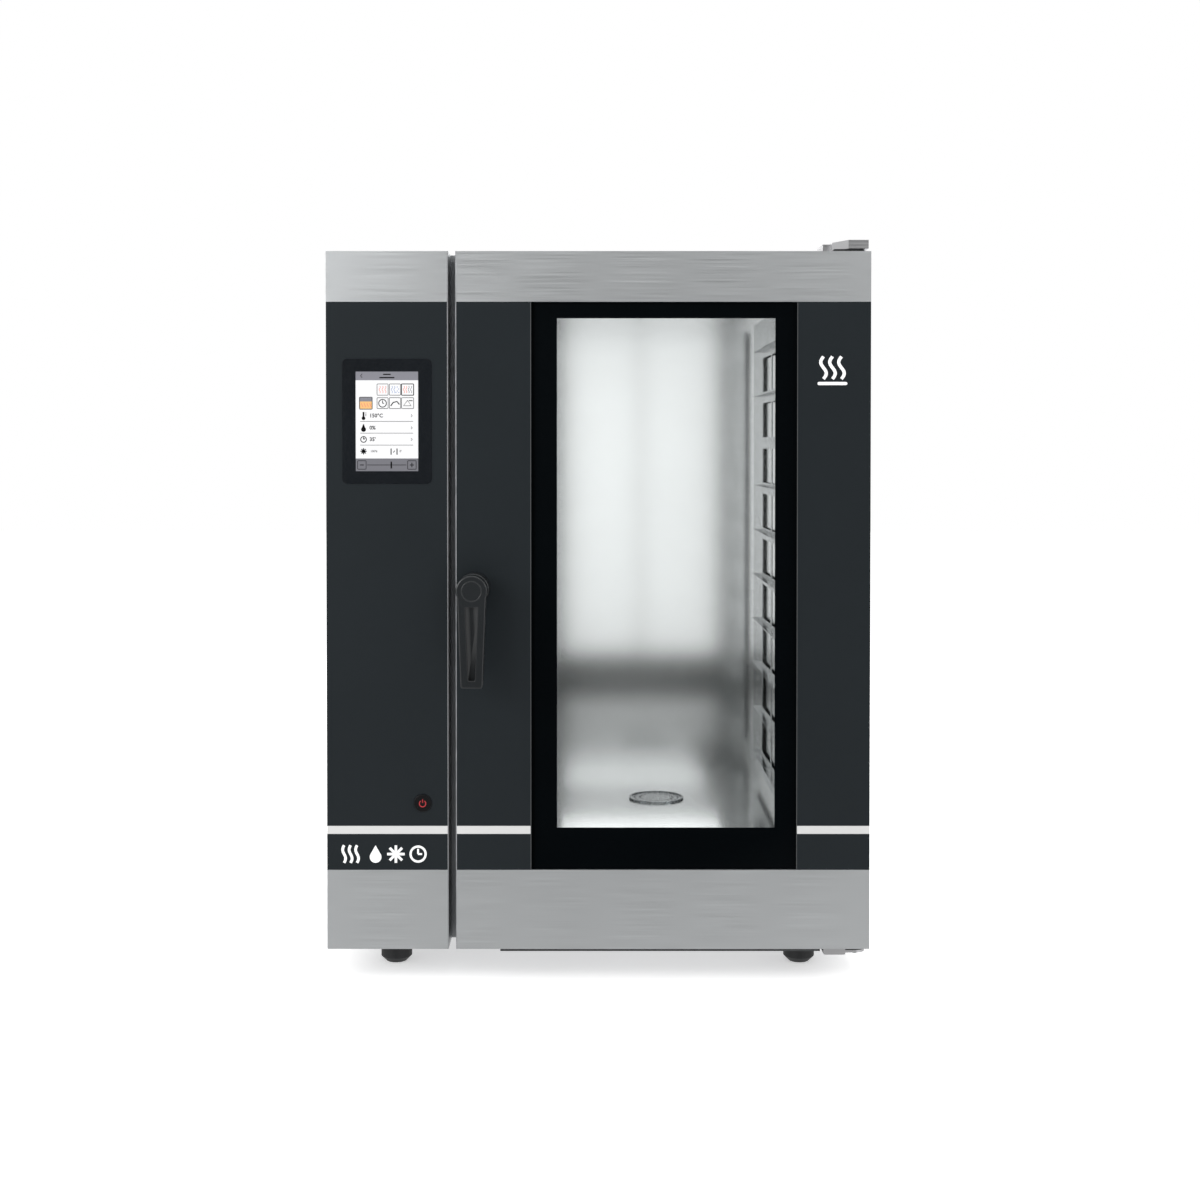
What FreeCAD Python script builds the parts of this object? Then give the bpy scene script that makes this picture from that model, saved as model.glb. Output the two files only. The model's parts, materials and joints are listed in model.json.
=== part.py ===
import FreeCAD, Part
import math
import os

# Free-standing combi steamer oven with a control column on the left and a glazed door on the
# right. Millimetres, +Z up, the front faces -Y. The origin is on the floor plane, under the
# middle of the oven's overall box.

# ------------------------------------------------------------------ overall dimensions
WIDTH = 880.0
DEPTH = 815.0
HEIGHT = 1205.0
HANDLE_REACH = 67.5
FITTING_REACH = 19.5
UNDERSIDE = 55.0
BODY_TOP = 1186.0
SHEET = 1.5
CLEAR = 0.3
RUNNING_FIT = 0.05

# ------------------------------------------------------------------ main planes
X_RIGHT = WIDTH / 2
X_LEFT = -X_RIGHT
Y_FRONT = HANDLE_REACH - DEPTH / 2
Y_REAR = DEPTH / 2 - FITTING_REACH
Y_TIP = DEPTH / 2
DOOR_THICK = 56.0
GASKET_GAP = 8.0
Y_DOOR_BACK = Y_FRONT + DOOR_THICK
Y_BODY = Y_DOOR_BACK + GASKET_GAP
X_COLUMN = -243.0
X_DOOR = -231.0
SKIN = 2.0
TOP_LIP_HIGH = 11.0
TOP_LIP_RIGHT = 365.0
Y_SKIN = Y_FRONT + SKIN
Z_LOWER_TRIM = 184.0
Z_UPPER_TRIM = 1104.4
STRIPE_Z = 242.6
STRIPE_HIGH = 13.0
STRIPE_DEEP = 0.8

# ------------------------------------------------------------------ cavity
CAVITY_LEFT = -180.0
CAVITY_RIGHT = 317.0
CAVITY_FLOOR = 222.0
CAVITY_TOP = 1130.0
CAVITY_BACK = 350.0
MOUTH_LEFT = -158.0
FRAME_THICK = 4.0
Y_LINER = Y_BODY + FRAME_THICK
LINER_LEFT = CAVITY_LEFT - SHEET
LINER_RIGHT = CAVITY_RIGHT + SHEET
LINER_FLOOR = CAVITY_FLOOR - SHEET
LINER_TOP = CAVITY_TOP + SHEET
LINER_BACK = CAVITY_BACK + SHEET
INSULATION = 40.0
INSULATION_BACK = 33.0
GASKET_WIDE = 16.0
GASKET_INSET = 6.0

# ------------------------------------------------------------------ fans and heating
FAN_Y = 40.0
FAN_Z = (452.0, 900.0)
FAN_R = 108.0
FAN_BLADES = 18
FAN_BACK_X = -165.0
FAN_FRONT_X = -117.0
SHAFT_R = 8.0
SHAFT_HOLE_R = 10.0
SHAFT_END_X = -272.0
BAFFLE_X = -98.0
HEATER_R = 132.0
HEATER_TUBE = 4.0
HEATER_LEG_Y = 20.0
HEATER_RINGS = (-166.0, -149.0, -132.0)
MOTOR_R = 58.0
MOTOR_LONG = 122.0
MOTOR_FLANGE = 8.0

# ------------------------------------------------------------------ racks and drain
RACK_LEVELS = 10
RACK_FIRST = 291.5
RACK_PITCH = 84.2
RACK_LEDGE = 15.0
RACK_FRONT = -258.0
RACK_BACK = 259.0
LEDGE_BACK = 150.0
RACK_WINDOWS = ((-238.0, -60.0), (-40.0, 98.0))
RACK_LOW = 254.0
RACK_HIGH = 1108.0
RACK_LEFT_X = -92.0
RACK_RIGHT_X = 313.0
POST_R = 4.0
BAFFLE_FRONT = -262.0
BAFFLE_BACK = 340.0
BAFFLE_LOW = CAVITY_FLOOR + 6.0
BAFFLE_HIGH = CAVITY_TOP - 6.0
DRAIN_X = 110.0
DRAIN_Y = 40.0
DRAIN_R = 20.0
DRAIN_Z = 122.0
DRAIN_WALL = 2.0
DRAIN_TAIL_R = 19.2
DRAIN_BEND = 38.0

# ------------------------------------------------------------------ door and hinge
GLASS_LEFT = -109.4
GLASS_RIGHT = 321.6
GLASS_THICK = 6.0
WINDOW_LEFT = -67.0
WINDOW_RIGHT = 286.0
WINDOW_LOW = 252.0
WINDOW_HIGH = 1078.0
PRINT_THICK = 0.4
DOOR_WALL = 2.0
HINGE_X = 420.0
HINGE_Y = (Y_FRONT + Y_DOOR_BACK) / 2
HINGE_R = 8.0
BUSH_R = 13.0
BUSH_LONG = 24.0

# ------------------------------------------------------------------ handle
HANDLE_X = -201.2
HANDLE_Z = 641.8
HANDLE_LONG = 154.0
HANDLE_HEAD_R = 25.3
HANDLE_TOP_WIDE = 47.0
HANDLE_TIP_WIDE = 36.0
HANDLE_THICK = 24.0
HANDLE_ROUND = 4.0
RECESS_TOP = 20.5
RECESS_TIP = 11.0
RECESS_DEEP = 8.0
ROSETTE_R = 25.8
ROSETTE_THICK = 12.0
SPINDLE_R = 9.0
SPINDLE_END_R = 6.0
LATCH_HALF = 17.0
LATCH_WIDE = 11.0
LATCH_THICK = 6.0

# ------------------------------------------------------------------ control column
SCREEN_LEFT = -392.0
SCREEN_RIGHT = -291.0
SCREEN_LOW = 831.0
SCREEN_HIGH = 991.8
BEZEL_LEFT = -413.4
BEZEL_RIGHT = -269.6
BEZEL_LOW = 810.7
BEZEL_HIGH = 1012.2
BEZEL_ROUND = 8.0
BEZEL_PROUD = 1.2
BUTTON_X = -284.8
BUTTON_Z = 292.8
BUTTON_R = 13.9
BUTTON_PROUD = 3.0

# ------------------------------------------------------------------ feet and base
FOOT_X = 341.0
FOOT_FRONT_Y = -216.0
FOOT_REAR_Y = 330.0
FOOT_R = 26.0
FOOT_TAPER = 9.0
FOOT_SCREW_R = 6.0
RAIL = 30.0
RAIL_WALL = 2.0

# ------------------------------------------------------------------ vent and rear fittings
VENT_X = -208.0
VENT_Y = -150.0
VENT_R = 16.0
VENT_TAIL_R = 15.5
VENT_WALL = 1.5
VENT_BOX_TOP = 1165.0
VENT_BOX_LEFT = -232.0
VENT_BOX_RIGHT = -130.0
VENT_HOLE_X = -155.0
VENT_HOLE_R = 12.0
STEAM_R = 5.0
STEAM_Y = 180.0
STEAM_Z = 676.0
STEAM_END_X = -140.0
FLAP_Z = 1178.0
INLET_X = -300.0
INLET_Z = 300.0
INLET_R = 13.22
INLET_NECK = 1.0
GLAND_X = -370.0
GLAND_Z = 190.0
GLAND_BORE = 9.0
GLAND_WALL = 3.0
COOLER_X = -340.0
COOLER_Z = 1000.0
COOLER_SIZE = 120.0
COOLER_DEEP = 38.0
COOLER_BORE = 56.0
SLOT_LOW = 560.0
SLOT_PITCH = 22.0


# ------------------------------------------------------------------ small helpers
def vec(x, y, z):
    return FreeCAD.Vector(x, y, z)


def block(x0, x1, y0, y1, z0, z1):
    """A box between two corners."""
    return Part.makeBox(x1 - x0, y1 - y0, z1 - z0, vec(x0, y0, z0))


def rod_x(x0, x1, y, z, r):
    return Part.makeCylinder(r, x1 - x0, vec(x0, y, z), vec(1, 0, 0))


def rod_y(y0, y1, x, z, r):
    return Part.makeCylinder(r, y1 - y0, vec(x, y0, z), vec(0, 1, 0))


def rod_z(z0, z1, x, y, r):
    return Part.makeCylinder(r, z1 - z0, vec(x, y, z0), vec(0, 0, 1))


def tube_y(y0, y1, x, z, r_out, r_in):
    return rod_y(y0, y1, x, z, r_out).cut(rod_y(y0, y1, x, z, r_in))


def tube_z(z0, z1, x, y, r_out, r_in):
    return rod_z(z0, z1, x, y, r_out).cut(rod_z(z0, z1, x, y, r_in))


def prism_y(points, y0, y1):
    """A straight-sided outline of (x, z) points, extruded from y0 to y1."""
    corners = [vec(x, y0, z) for x, z in points]
    face = Part.Face(Part.makePolygon(corners + corners[:1]))
    return face.extrude(vec(0, y1 - y0, 0))


def prism_z(points, z0, z1):
    """A straight-sided outline of (x, y) points, extruded from z0 to z1."""
    corners = [vec(x, y, z0) for x, y in points]
    face = Part.Face(Part.makePolygon(corners + corners[:1]))
    return face.extrude(vec(0, 0, z1 - z0))


def round_edges(shape, axis, radius):
    """Fillet the straight edges of a shape that run along one axis."""
    chosen = []
    for edge in shape.Edges:
        if isinstance(edge.Curve, Part.Line) and abs(edge.tangentAt(0).dot(axis)) > 0.999:
            chosen.append(edge)
    return shape.makeFillet(radius, chosen)


def rounded_plate(x0, x1, y0, y1, z0, z1, radius):
    """A plate facing -Y whose four corners are rounded."""
    return round_edges(block(x0, x1, y0, y1, z0, z1), vec(0, 1, 0), radius)


def ring_bars(x0, x1, z0, z1, inner, y0, y1):
    """Four bars around an opening; inner is its (x0, x1, z0, z1)."""
    ix0, ix1, iz0, iz1 = inner
    return [
        block(x0, ix0, y0, y1, z0, z1),
        block(ix1, x1, y0, y1, z0, z1),
        block(ix0, ix1, y0, y1, iz1, z1),
        block(ix0, ix1, y0, y1, z0, iz0),
    ]


def sweep(points, bend, radius):
    """A round bar along straight runs joined by tangent arcs of one bend radius."""
    edges = []
    start = points[0]
    for here, corner, after in zip(points, points[1:], points[2:]):
        way_in = (corner - here).normalize()
        way_out = (after - corner).normalize()
        turn = way_in.getAngle(way_out)
        reach = bend * math.tan(turn / 2)
        first = corner - way_in * reach
        last = corner + way_out * reach
        inward = (way_out - way_in).normalize()
        middle = corner + inward * (bend / math.cos(turn / 2) - bend)
        edges.append(Part.makeLine(start, first))
        edges.append(Part.Arc(first, middle, last).toShape())
        start = last
    edges.append(Part.makeLine(start, points[-1]))
    heading = points[1] - points[0]
    profile = Part.Wire(Part.makeCircle(radius, points[0], heading))
    return Part.Wire(edges).makePipeShell([profile], True, False)


def save(name, *shapes):
    """Write the solids of one node to its own file, after checking each of them."""
    solids = [solid for shape in shapes for solid in shape.Solids]
    for solid in solids:
        if not solid.isValid() or not solid.isClosed() or solid.Volume <= 0:
            raise ValueError("bad solid in " + name)
    whole = solids[0] if len(solids) == 1 else Part.makeCompound(solids)
    whole.exportStep(os.path.join("parts", name + ".step"))
    print(name, len(solids), "solid(s)")


# ------------------------------------------------------------------ base, feet and casing
def foot_places():
    return [(x, y) for x in (-FOOT_X, FOOT_X) for y in (FOOT_FRONT_Y, FOOT_REAR_Y)]


def base_frame():
    """Square tubes: one along each side and a cross tube over each pair of feet."""
    low = UNDERSIDE + SHEET
    high = low + RAIL
    side = X_RIGHT - SHEET
    rails = []
    for x in (-side, side - RAIL):
        outer = block(x, x + RAIL, Y_LINER, Y_REAR - SHEET, low, high)
        hollow = block(x + RAIL_WALL, x + RAIL - RAIL_WALL, Y_LINER, Y_REAR - SHEET,
                       low + RAIL_WALL, high - RAIL_WALL)
        rails.append(outer.cut(hollow))
    reach = side - RAIL
    for y in (FOOT_FRONT_Y, FOOT_REAR_Y):
        outer = block(-reach, reach, y - RAIL / 2, y + RAIL / 2, low, high)
        hollow = block(-reach, reach, y - RAIL / 2 + RAIL_WALL, y + RAIL / 2 - RAIL_WALL,
                       low + RAIL_WALL, high - RAIL_WALL)
        tube = outer.cut(hollow)
        for x in (-FOOT_X, FOOT_X):
            tube = tube.cut(rod_z(low, high, x, y, FOOT_SCREW_R))
        rails.append(tube)
    save("base_frame", *rails)


def feet():
    """Round pads with a tapered sole, and the screws that level them."""
    taper = 0.35 * FOOT_R
    screw_low = FOOT_TAPER + 6.0
    screw_high = UNDERSIDE + SHEET + RAIL + 4.0
    pads = []
    screws = []
    for x, y in foot_places():
        sole = Part.makeCone(FOOT_R - taper, FOOT_R, FOOT_TAPER, vec(x, y, 0))
        body = rod_z(FOOT_TAPER, UNDERSIDE, x, y, FOOT_R)
        hole = rod_z(screw_low, UNDERSIDE, x, y, FOOT_SCREW_R)
        pads.append(sole.fuse(body).cut(hole).removeSplitter())
        screws.append(rod_z(screw_low, screw_high, x, y, FOOT_SCREW_R))
    save("foot_pads", *pads)
    save("foot_screws", *screws)


def bottom_panel():
    sheet = block(X_LEFT + SHEET, X_RIGHT - SHEET, Y_BODY, Y_REAR - SHEET,
                  UNDERSIDE, UNDERSIDE + SHEET)
    for x, y in foot_places():
        sheet = sheet.cut(rod_z(UNDERSIDE, UNDERSIDE + SHEET, x, y, FOOT_SCREW_R))
    save("bottom_panel", sheet)


def side_panels():
    top = BODY_TOP - SHEET
    save("left_side_panel", block(X_LEFT, X_LEFT + SHEET, Y_BODY, Y_REAR - SHEET, UNDERSIDE, top))
    save("right_side_panel", block(X_RIGHT - SHEET, X_RIGHT, Y_BODY, Y_REAR - SHEET, UNDERSIDE, top))


def rear_panel():
    """The back sheet, with holes for the fittings, the cooling fan and two rows of slots."""
    y0 = Y_REAR - SHEET
    sheet = block(X_LEFT, X_RIGHT, y0, Y_REAR, UNDERSIDE, BODY_TOP - SHEET)
    sheet = sheet.cut(rod_y(y0, Y_REAR, INLET_X, INLET_Z, INLET_R + INLET_NECK))
    sheet = sheet.cut(rod_y(y0, Y_REAR, GLAND_X, GLAND_Z, GLAND_BORE + GLAND_WALL))
    sheet = sheet.cut(rod_y(y0, Y_REAR, DRAIN_X, DRAIN_Z, DRAIN_R))
    bars = 7
    bar_high = 4.0
    pitch = 2 * COOLER_BORE / (bars + 1)
    opening = rod_y(y0, Y_REAR, COOLER_X, COOLER_Z, COOLER_BORE)
    for i in range(1, bars + 1):
        z = COOLER_Z - COOLER_BORE + i * pitch
        opening = opening.cut(block(COOLER_X - COOLER_BORE, COOLER_X + COOLER_BORE,
                                    y0, Y_REAR, z - bar_high / 2, z + bar_high / 2))
    sheet = sheet.cut(opening)
    slot_long = 90.0
    slot_high = 7.0
    for i in range(10):
        z = SLOT_LOW + SLOT_PITCH * i
        sheet = sheet.cut(block(COOLER_X - slot_long / 2, COOLER_X + slot_long / 2,
                                y0, Y_REAR, z, z + slot_high))
    save("rear_panel", sheet)


def top_cover():
    """The top sheet, with a lip folded down in front of the front frame."""
    sheet = block(X_LEFT, X_RIGHT, Y_BODY, Y_REAR, BODY_TOP - SHEET, BODY_TOP)
    lip = block(X_COLUMN, TOP_LIP_RIGHT, Y_BODY - SHEET, Y_BODY, BODY_TOP - TOP_LIP_HIGH, BODY_TOP)
    sheet = sheet.fuse(lip).removeSplitter()
    save("top_cover", sheet.cut(rod_z(BODY_TOP - SHEET, BODY_TOP, VENT_X, VENT_Y, VENT_R)))


def front_frame():
    """Four plates around the cavity's mouth; the left one has the slot that the latch enters."""
    mouth = (MOUTH_LEFT, CAVITY_RIGHT, CAVITY_FLOOR, CAVITY_TOP)
    bars = ring_bars(X_COLUMN, X_RIGHT - SHEET, UNDERSIDE + SHEET, BODY_TOP - SHEET,
                     mouth, Y_BODY, Y_LINER)
    room = 2.5
    half_wide = LATCH_WIDE / 2 + room
    half_high = LATCH_HALF + room
    slot = block(HANDLE_X - half_wide, HANDLE_X + half_wide, Y_BODY, Y_LINER,
                 HANDLE_Z - half_high, HANDLE_Z + half_high)
    bars[0] = bars[0].cut(slot)
    save("front_frame", *bars)


# ------------------------------------------------------------------ cavity
def cavity_liner():
    """Five welded sheets, open towards the door."""
    left = block(LINER_LEFT, CAVITY_LEFT, Y_LINER, LINER_BACK, LINER_FLOOR, LINER_TOP)
    right = block(CAVITY_RIGHT, LINER_RIGHT, Y_LINER, LINER_BACK, LINER_FLOOR, LINER_TOP)
    floor = block(CAVITY_LEFT, CAVITY_RIGHT, Y_LINER, CAVITY_BACK, LINER_FLOOR, CAVITY_FLOOR)
    ceiling = block(CAVITY_LEFT, CAVITY_RIGHT, Y_LINER, CAVITY_BACK, CAVITY_TOP, LINER_TOP)
    back = block(CAVITY_LEFT, CAVITY_RIGHT, CAVITY_BACK, LINER_BACK, LINER_FLOOR, LINER_TOP)
    for z in FAN_Z:
        left = left.cut(rod_x(LINER_LEFT, CAVITY_LEFT, FAN_Y, z, SHAFT_HOLE_R))
        for side in (-1, 1):
            left = left.cut(rod_x(LINER_LEFT, CAVITY_LEFT, FAN_Y + side * HEATER_LEG_Y,
                                  z + HEATER_R, HEATER_TUBE))
    left = left.cut(rod_x(LINER_LEFT, CAVITY_LEFT, STEAM_Y, STEAM_Z, STEAM_R))
    floor = floor.cut(rod_z(LINER_FLOOR, CAVITY_FLOOR, DRAIN_X, DRAIN_Y, DRAIN_R))
    ceiling = ceiling.cut(rod_z(CAVITY_TOP, LINER_TOP, VENT_HOLE_X, VENT_Y, VENT_HOLE_R))
    save("cavity_liner", left, right, floor, ceiling, back)


def insulation():
    """Mineral wool slabs on all five closed sides of the liner."""
    slab_left = LINER_LEFT - INSULATION
    slab_right = LINER_RIGHT + INSULATION
    slab_low = LINER_FLOOR - INSULATION
    slab_high = LINER_TOP + INSULATION
    back = LINER_BACK + INSULATION_BACK
    latch_room = Y_LINER + 22.0
    left = block(slab_left, LINER_LEFT, latch_room, LINER_BACK, LINER_FLOOR, LINER_TOP)
    for z in FAN_Z:
        left = left.cut(rod_x(slab_left, LINER_LEFT, FAN_Y, z, SHAFT_HOLE_R))
        for side in (-1, 1):
            left = left.cut(rod_x(slab_left, LINER_LEFT, FAN_Y + side * HEATER_LEG_Y,
                                  z + HEATER_R, HEATER_TUBE))
    left = left.cut(rod_x(slab_left, LINER_LEFT, STEAM_Y, STEAM_Z, STEAM_R))
    right = block(LINER_RIGHT, slab_right, Y_LINER, LINER_BACK, LINER_FLOOR, LINER_TOP)
    floor = block(LINER_LEFT, LINER_RIGHT, Y_LINER, LINER_BACK, slab_low, LINER_FLOOR)
    floor = floor.cut(rod_z(slab_low, LINER_FLOOR, DRAIN_X, DRAIN_Y, DRAIN_R))
    ceiling = block(VENT_BOX_RIGHT, LINER_RIGHT, Y_LINER, LINER_BACK, LINER_TOP, slab_high)
    rear = block(LINER_LEFT, LINER_RIGHT, LINER_BACK, back, LINER_FLOOR, LINER_TOP)
    save("insulation", left, right, floor, ceiling, rear)


def door_gasket():
    """One moulded ring around the mouth, a little proud of the front frame."""
    x0 = MOUTH_LEFT - GASKET_INSET - GASKET_WIDE
    x1 = CAVITY_RIGHT + GASKET_INSET + GASKET_WIDE
    z0 = CAVITY_FLOOR - GASKET_INSET - GASKET_WIDE
    z1 = CAVITY_TOP + GASKET_INSET + GASKET_WIDE
    front = Y_DOOR_BACK + CLEAR
    ring = rounded_plate(x0, x1, front, Y_BODY, z0, z1, GASKET_WIDE + 4.0)
    hole = rounded_plate(x0 + GASKET_WIDE, x1 - GASKET_WIDE, front, Y_BODY,
                         z0 + GASKET_WIDE, z1 - GASKET_WIDE, 4.0)
    save("door_gasket", ring.cut(hole))


def fan_baffle():
    """The panel between the fans and the food, with a ring pattern of intake holes per fan."""
    x1 = BAFFLE_X + SHEET
    plate = block(BAFFLE_X, x1, BAFFLE_FRONT, BAFFLE_BACK, BAFFLE_LOW, BAFFLE_HIGH)
    hole_r = 6.5
    for z in FAN_Z:
        for ring_r, count in ((18.0, 6), (38.0, 12), (58.0, 18), (78.0, 24)):
            for i in range(count):
                turn = 2 * math.pi * i / count
                plate = plate.cut(rod_x(BAFFLE_X, x1, FAN_Y + ring_r * math.cos(turn),
                                        z + ring_r * math.sin(turn), hole_r))
    for y, z in baffle_posts():
        plate = plate.cut(rod_x(BAFFLE_X, x1, y, z, POST_R))
    save("fan_baffle", plate)


def baffle_posts():
    """The (y, z) places of the six stand-off posts."""
    inset = 22.0
    middle = (BAFFLE_LOW + BAFFLE_HIGH) / 2
    return [(y, z) for y in (BAFFLE_FRONT + inset, BAFFLE_BACK - inset)
            for z in (BAFFLE_LOW + inset, middle, BAFFLE_HIGH - inset)]


def baffle_fixings():
    """Stand-off posts from the liner with a thumb nut each."""
    x1 = BAFFLE_X + SHEET
    posts = []
    for y, z in baffle_posts():
        post = rod_x(CAVITY_LEFT, x1, y, z, POST_R)
        nut = rod_x(x1, x1 + POST_R, y, z, 2 * POST_R)
        posts.append(post.fuse(nut).removeSplitter())
    save("baffle_fixings", *posts)


def rack(x_wall, inward):
    """A hanging rack: a plate with a window between each pair of the ledges welded to it."""
    x_face = x_wall + inward * SHEET
    x_lip = x_face + inward * (RACK_LEDGE - SHEET)
    low, high = sorted((x_wall, x_face))
    plate = block(low, high, RACK_FRONT, RACK_BACK, RACK_LOW, RACK_HIGH)
    window_low = 7.0
    window_high = 14.0
    for i in range(RACK_LEVELS - 1):
        z = RACK_FIRST + i * RACK_PITCH
        for y0, y1 in RACK_WINDOWS:
            plate = plate.cut(block(low, high, y0, y1,
                                    z + window_low, z + RACK_PITCH - window_high))
    low, high = sorted((x_face, x_lip))
    ledges = []
    for i in range(RACK_LEVELS):
        z = RACK_FIRST + i * RACK_PITCH
        ledges.append(block(low, high, RACK_FRONT, LEDGE_BACK, z, z + SHEET))
    return [plate] + ledges


def racks():
    save("rack_left", *rack(RACK_LEFT_X, 1))
    save("rack_right", *rack(RACK_RIGHT_X, -1))


def rack_hooks():
    """Studs on both side walls that carry the racks."""
    studs = []
    for y in (RACK_FRONT + 30.0, RACK_BACK - 30.0):
        for z in (RACK_LOW + 18.0, RACK_HIGH - 14.0):
            studs.append(rod_x(BAFFLE_X + SHEET, RACK_LEFT_X, y, z, POST_R))
            studs.append(rod_x(RACK_RIGHT_X, CAVITY_RIGHT, y, z, POST_R))
    save("rack_hooks", *studs)


def drain_cover():
    """A round grate with two rings of short slots and a raised rim."""
    radius = 50.0
    thick = 2.0
    rim = 4.0
    slot_long = 6.8
    slot_wide = 3.2
    base = rod_z(CAVITY_FLOOR, CAVITY_FLOOR + thick, DRAIN_X, DRAIN_Y, radius)
    lip = tube_z(CAVITY_FLOOR + thick, CAVITY_FLOOR + thick + SHEET, DRAIN_X, DRAIN_Y,
                 radius, radius - rim)
    cover = base.fuse(lip).removeSplitter()
    for ring_r, count in ((30.0, 18), (40.0, 24)):
        for i in range(count):
            middle = DRAIN_Y + ring_r
            slot = block(DRAIN_X - slot_long / 2, DRAIN_X + slot_long / 2, middle - slot_wide / 2,
                         middle + slot_wide / 2, CAVITY_FLOOR, CAVITY_FLOOR + thick)
            slot.rotate(vec(DRAIN_X, DRAIN_Y, 0), vec(0, 0, 1), 360.0 * i / count)
            cover = cover.cut(slot)
    save("drain_cover", cover)


def drain_pipe():
    """A tube from the cavity's floor, round one bend to a slimmer hose tail at the back."""
    top = vec(DRAIN_X, DRAIN_Y, CAVITY_FLOOR)
    corner = vec(DRAIN_X, DRAIN_Y, DRAIN_Z)
    outer = sweep([top, corner, vec(DRAIN_X, Y_REAR, DRAIN_Z)], DRAIN_BEND, DRAIN_R)
    inner = sweep([top, corner, vec(DRAIN_X, Y_TIP, DRAIN_Z)], DRAIN_BEND, DRAIN_R - DRAIN_WALL)
    tail = rod_y(Y_REAR, Y_TIP, DRAIN_X, DRAIN_Z, DRAIN_TAIL_R)
    save("drain_pipe", outer.fuse(tail).cut(inner))


# ------------------------------------------------------------------ fans, motors and heaters
def fan_wheel(z):
    """A back plate with a hub, a ring of straight blades and the shaft that drives them."""
    plate_thick = 2.0
    blade_thick = 1.6
    blade_long = 34.0
    hub_r = 15.0
    hub_long = 22.0
    rim_wide = 8.0
    blade_top = FAN_R - 2.0
    plate = rod_x(FAN_BACK_X, FAN_BACK_X + plate_thick, FAN_Y, z, FAN_R)
    wheel = plate.fuse(rod_x(FAN_BACK_X, FAN_BACK_X + hub_long, FAN_Y, z, hub_r))
    for i in range(FAN_BLADES):
        blade = block(FAN_BACK_X, FAN_FRONT_X, FAN_Y - blade_thick / 2, FAN_Y + blade_thick / 2,
                      z + blade_top - blade_long, z + blade_top)
        blade.rotate(vec(0, FAN_Y, z), vec(1, 0, 0), 360.0 * i / FAN_BLADES)
        wheel = wheel.fuse(blade)
    rim_back = FAN_FRONT_X - blade_thick
    rim = rod_x(rim_back, FAN_FRONT_X, FAN_Y, z, FAN_R)
    rim = rim.cut(rod_x(rim_back, FAN_FRONT_X, FAN_Y, z, FAN_R - rim_wide))
    shaft = rod_x(SHAFT_END_X, FAN_BACK_X + hub_long + 4.0, FAN_Y, z, SHAFT_R)
    return wheel.fuse(rim).fuse(shaft).removeSplitter()


def fans():
    save("lower_fan_wheel", fan_wheel(FAN_Z[0]))
    save("upper_fan_wheel", fan_wheel(FAN_Z[1]))


def fan_motors():
    """Flanged motors standing on the outside of the left insulation."""
    seat = LINER_LEFT - INSULATION
    flange_wider = 12.0
    cap_long = 14.0
    fins = 16
    fin_wide = 3.0
    fin_proud = 5.0
    motors = []
    for z in FAN_Z:
        flange = rod_x(seat - MOTOR_FLANGE, seat, FAN_Y, z, MOTOR_R + flange_wider)
        body = rod_x(seat - MOTOR_LONG, seat - MOTOR_FLANGE, FAN_Y, z, MOTOR_R)
        cap = Part.makeCone(MOTOR_R - cap_long, MOTOR_R, cap_long,
                            vec(seat - MOTOR_LONG - cap_long, FAN_Y, z), vec(1, 0, 0))
        motor = flange.fuse(body).fuse(cap)
        for i in range(fins):
            fin = block(seat - MOTOR_LONG + MOTOR_FLANGE, seat - MOTOR_FLANGE,
                        FAN_Y - fin_wide / 2, FAN_Y + fin_wide / 2,
                        z + MOTOR_R - fin_wide, z + MOTOR_R + fin_proud)
            fin.rotate(vec(0, FAN_Y, z), vec(1, 0, 0), 360.0 * i / fins)
            motor = motor.fuse(fin)
        bore = rod_x(SHAFT_END_X - 1.0, seat, FAN_Y, z, SHAFT_R + RUNNING_FIT)
        motors.append(motor.removeSplitter().cut(bore))
    save("fan_motors", *motors)


def heater_elements():
    """Three rings around each fan, joined by the two straight legs that leave the cavity."""
    heaters = []
    leg_end = LINER_LEFT - INSULATION - 12.0
    for z in FAN_Z:
        legs = []
        for side in (-1, 1):
            leg_y = FAN_Y + side * HEATER_LEG_Y
            legs.append(rod_x(leg_end, HEATER_RINGS[-1], leg_y, z + HEATER_R, HEATER_TUBE))
        heater = legs[0].fuse(legs[1])
        for x in HEATER_RINGS:
            ring = Part.makeTorus(HEATER_R, HEATER_TUBE, vec(x, FAN_Y, z), vec(1, 0, 0))
            heater = heater.fuse(ring)
        heaters.append(heater)
    save("heater_elements", *heaters)


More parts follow.
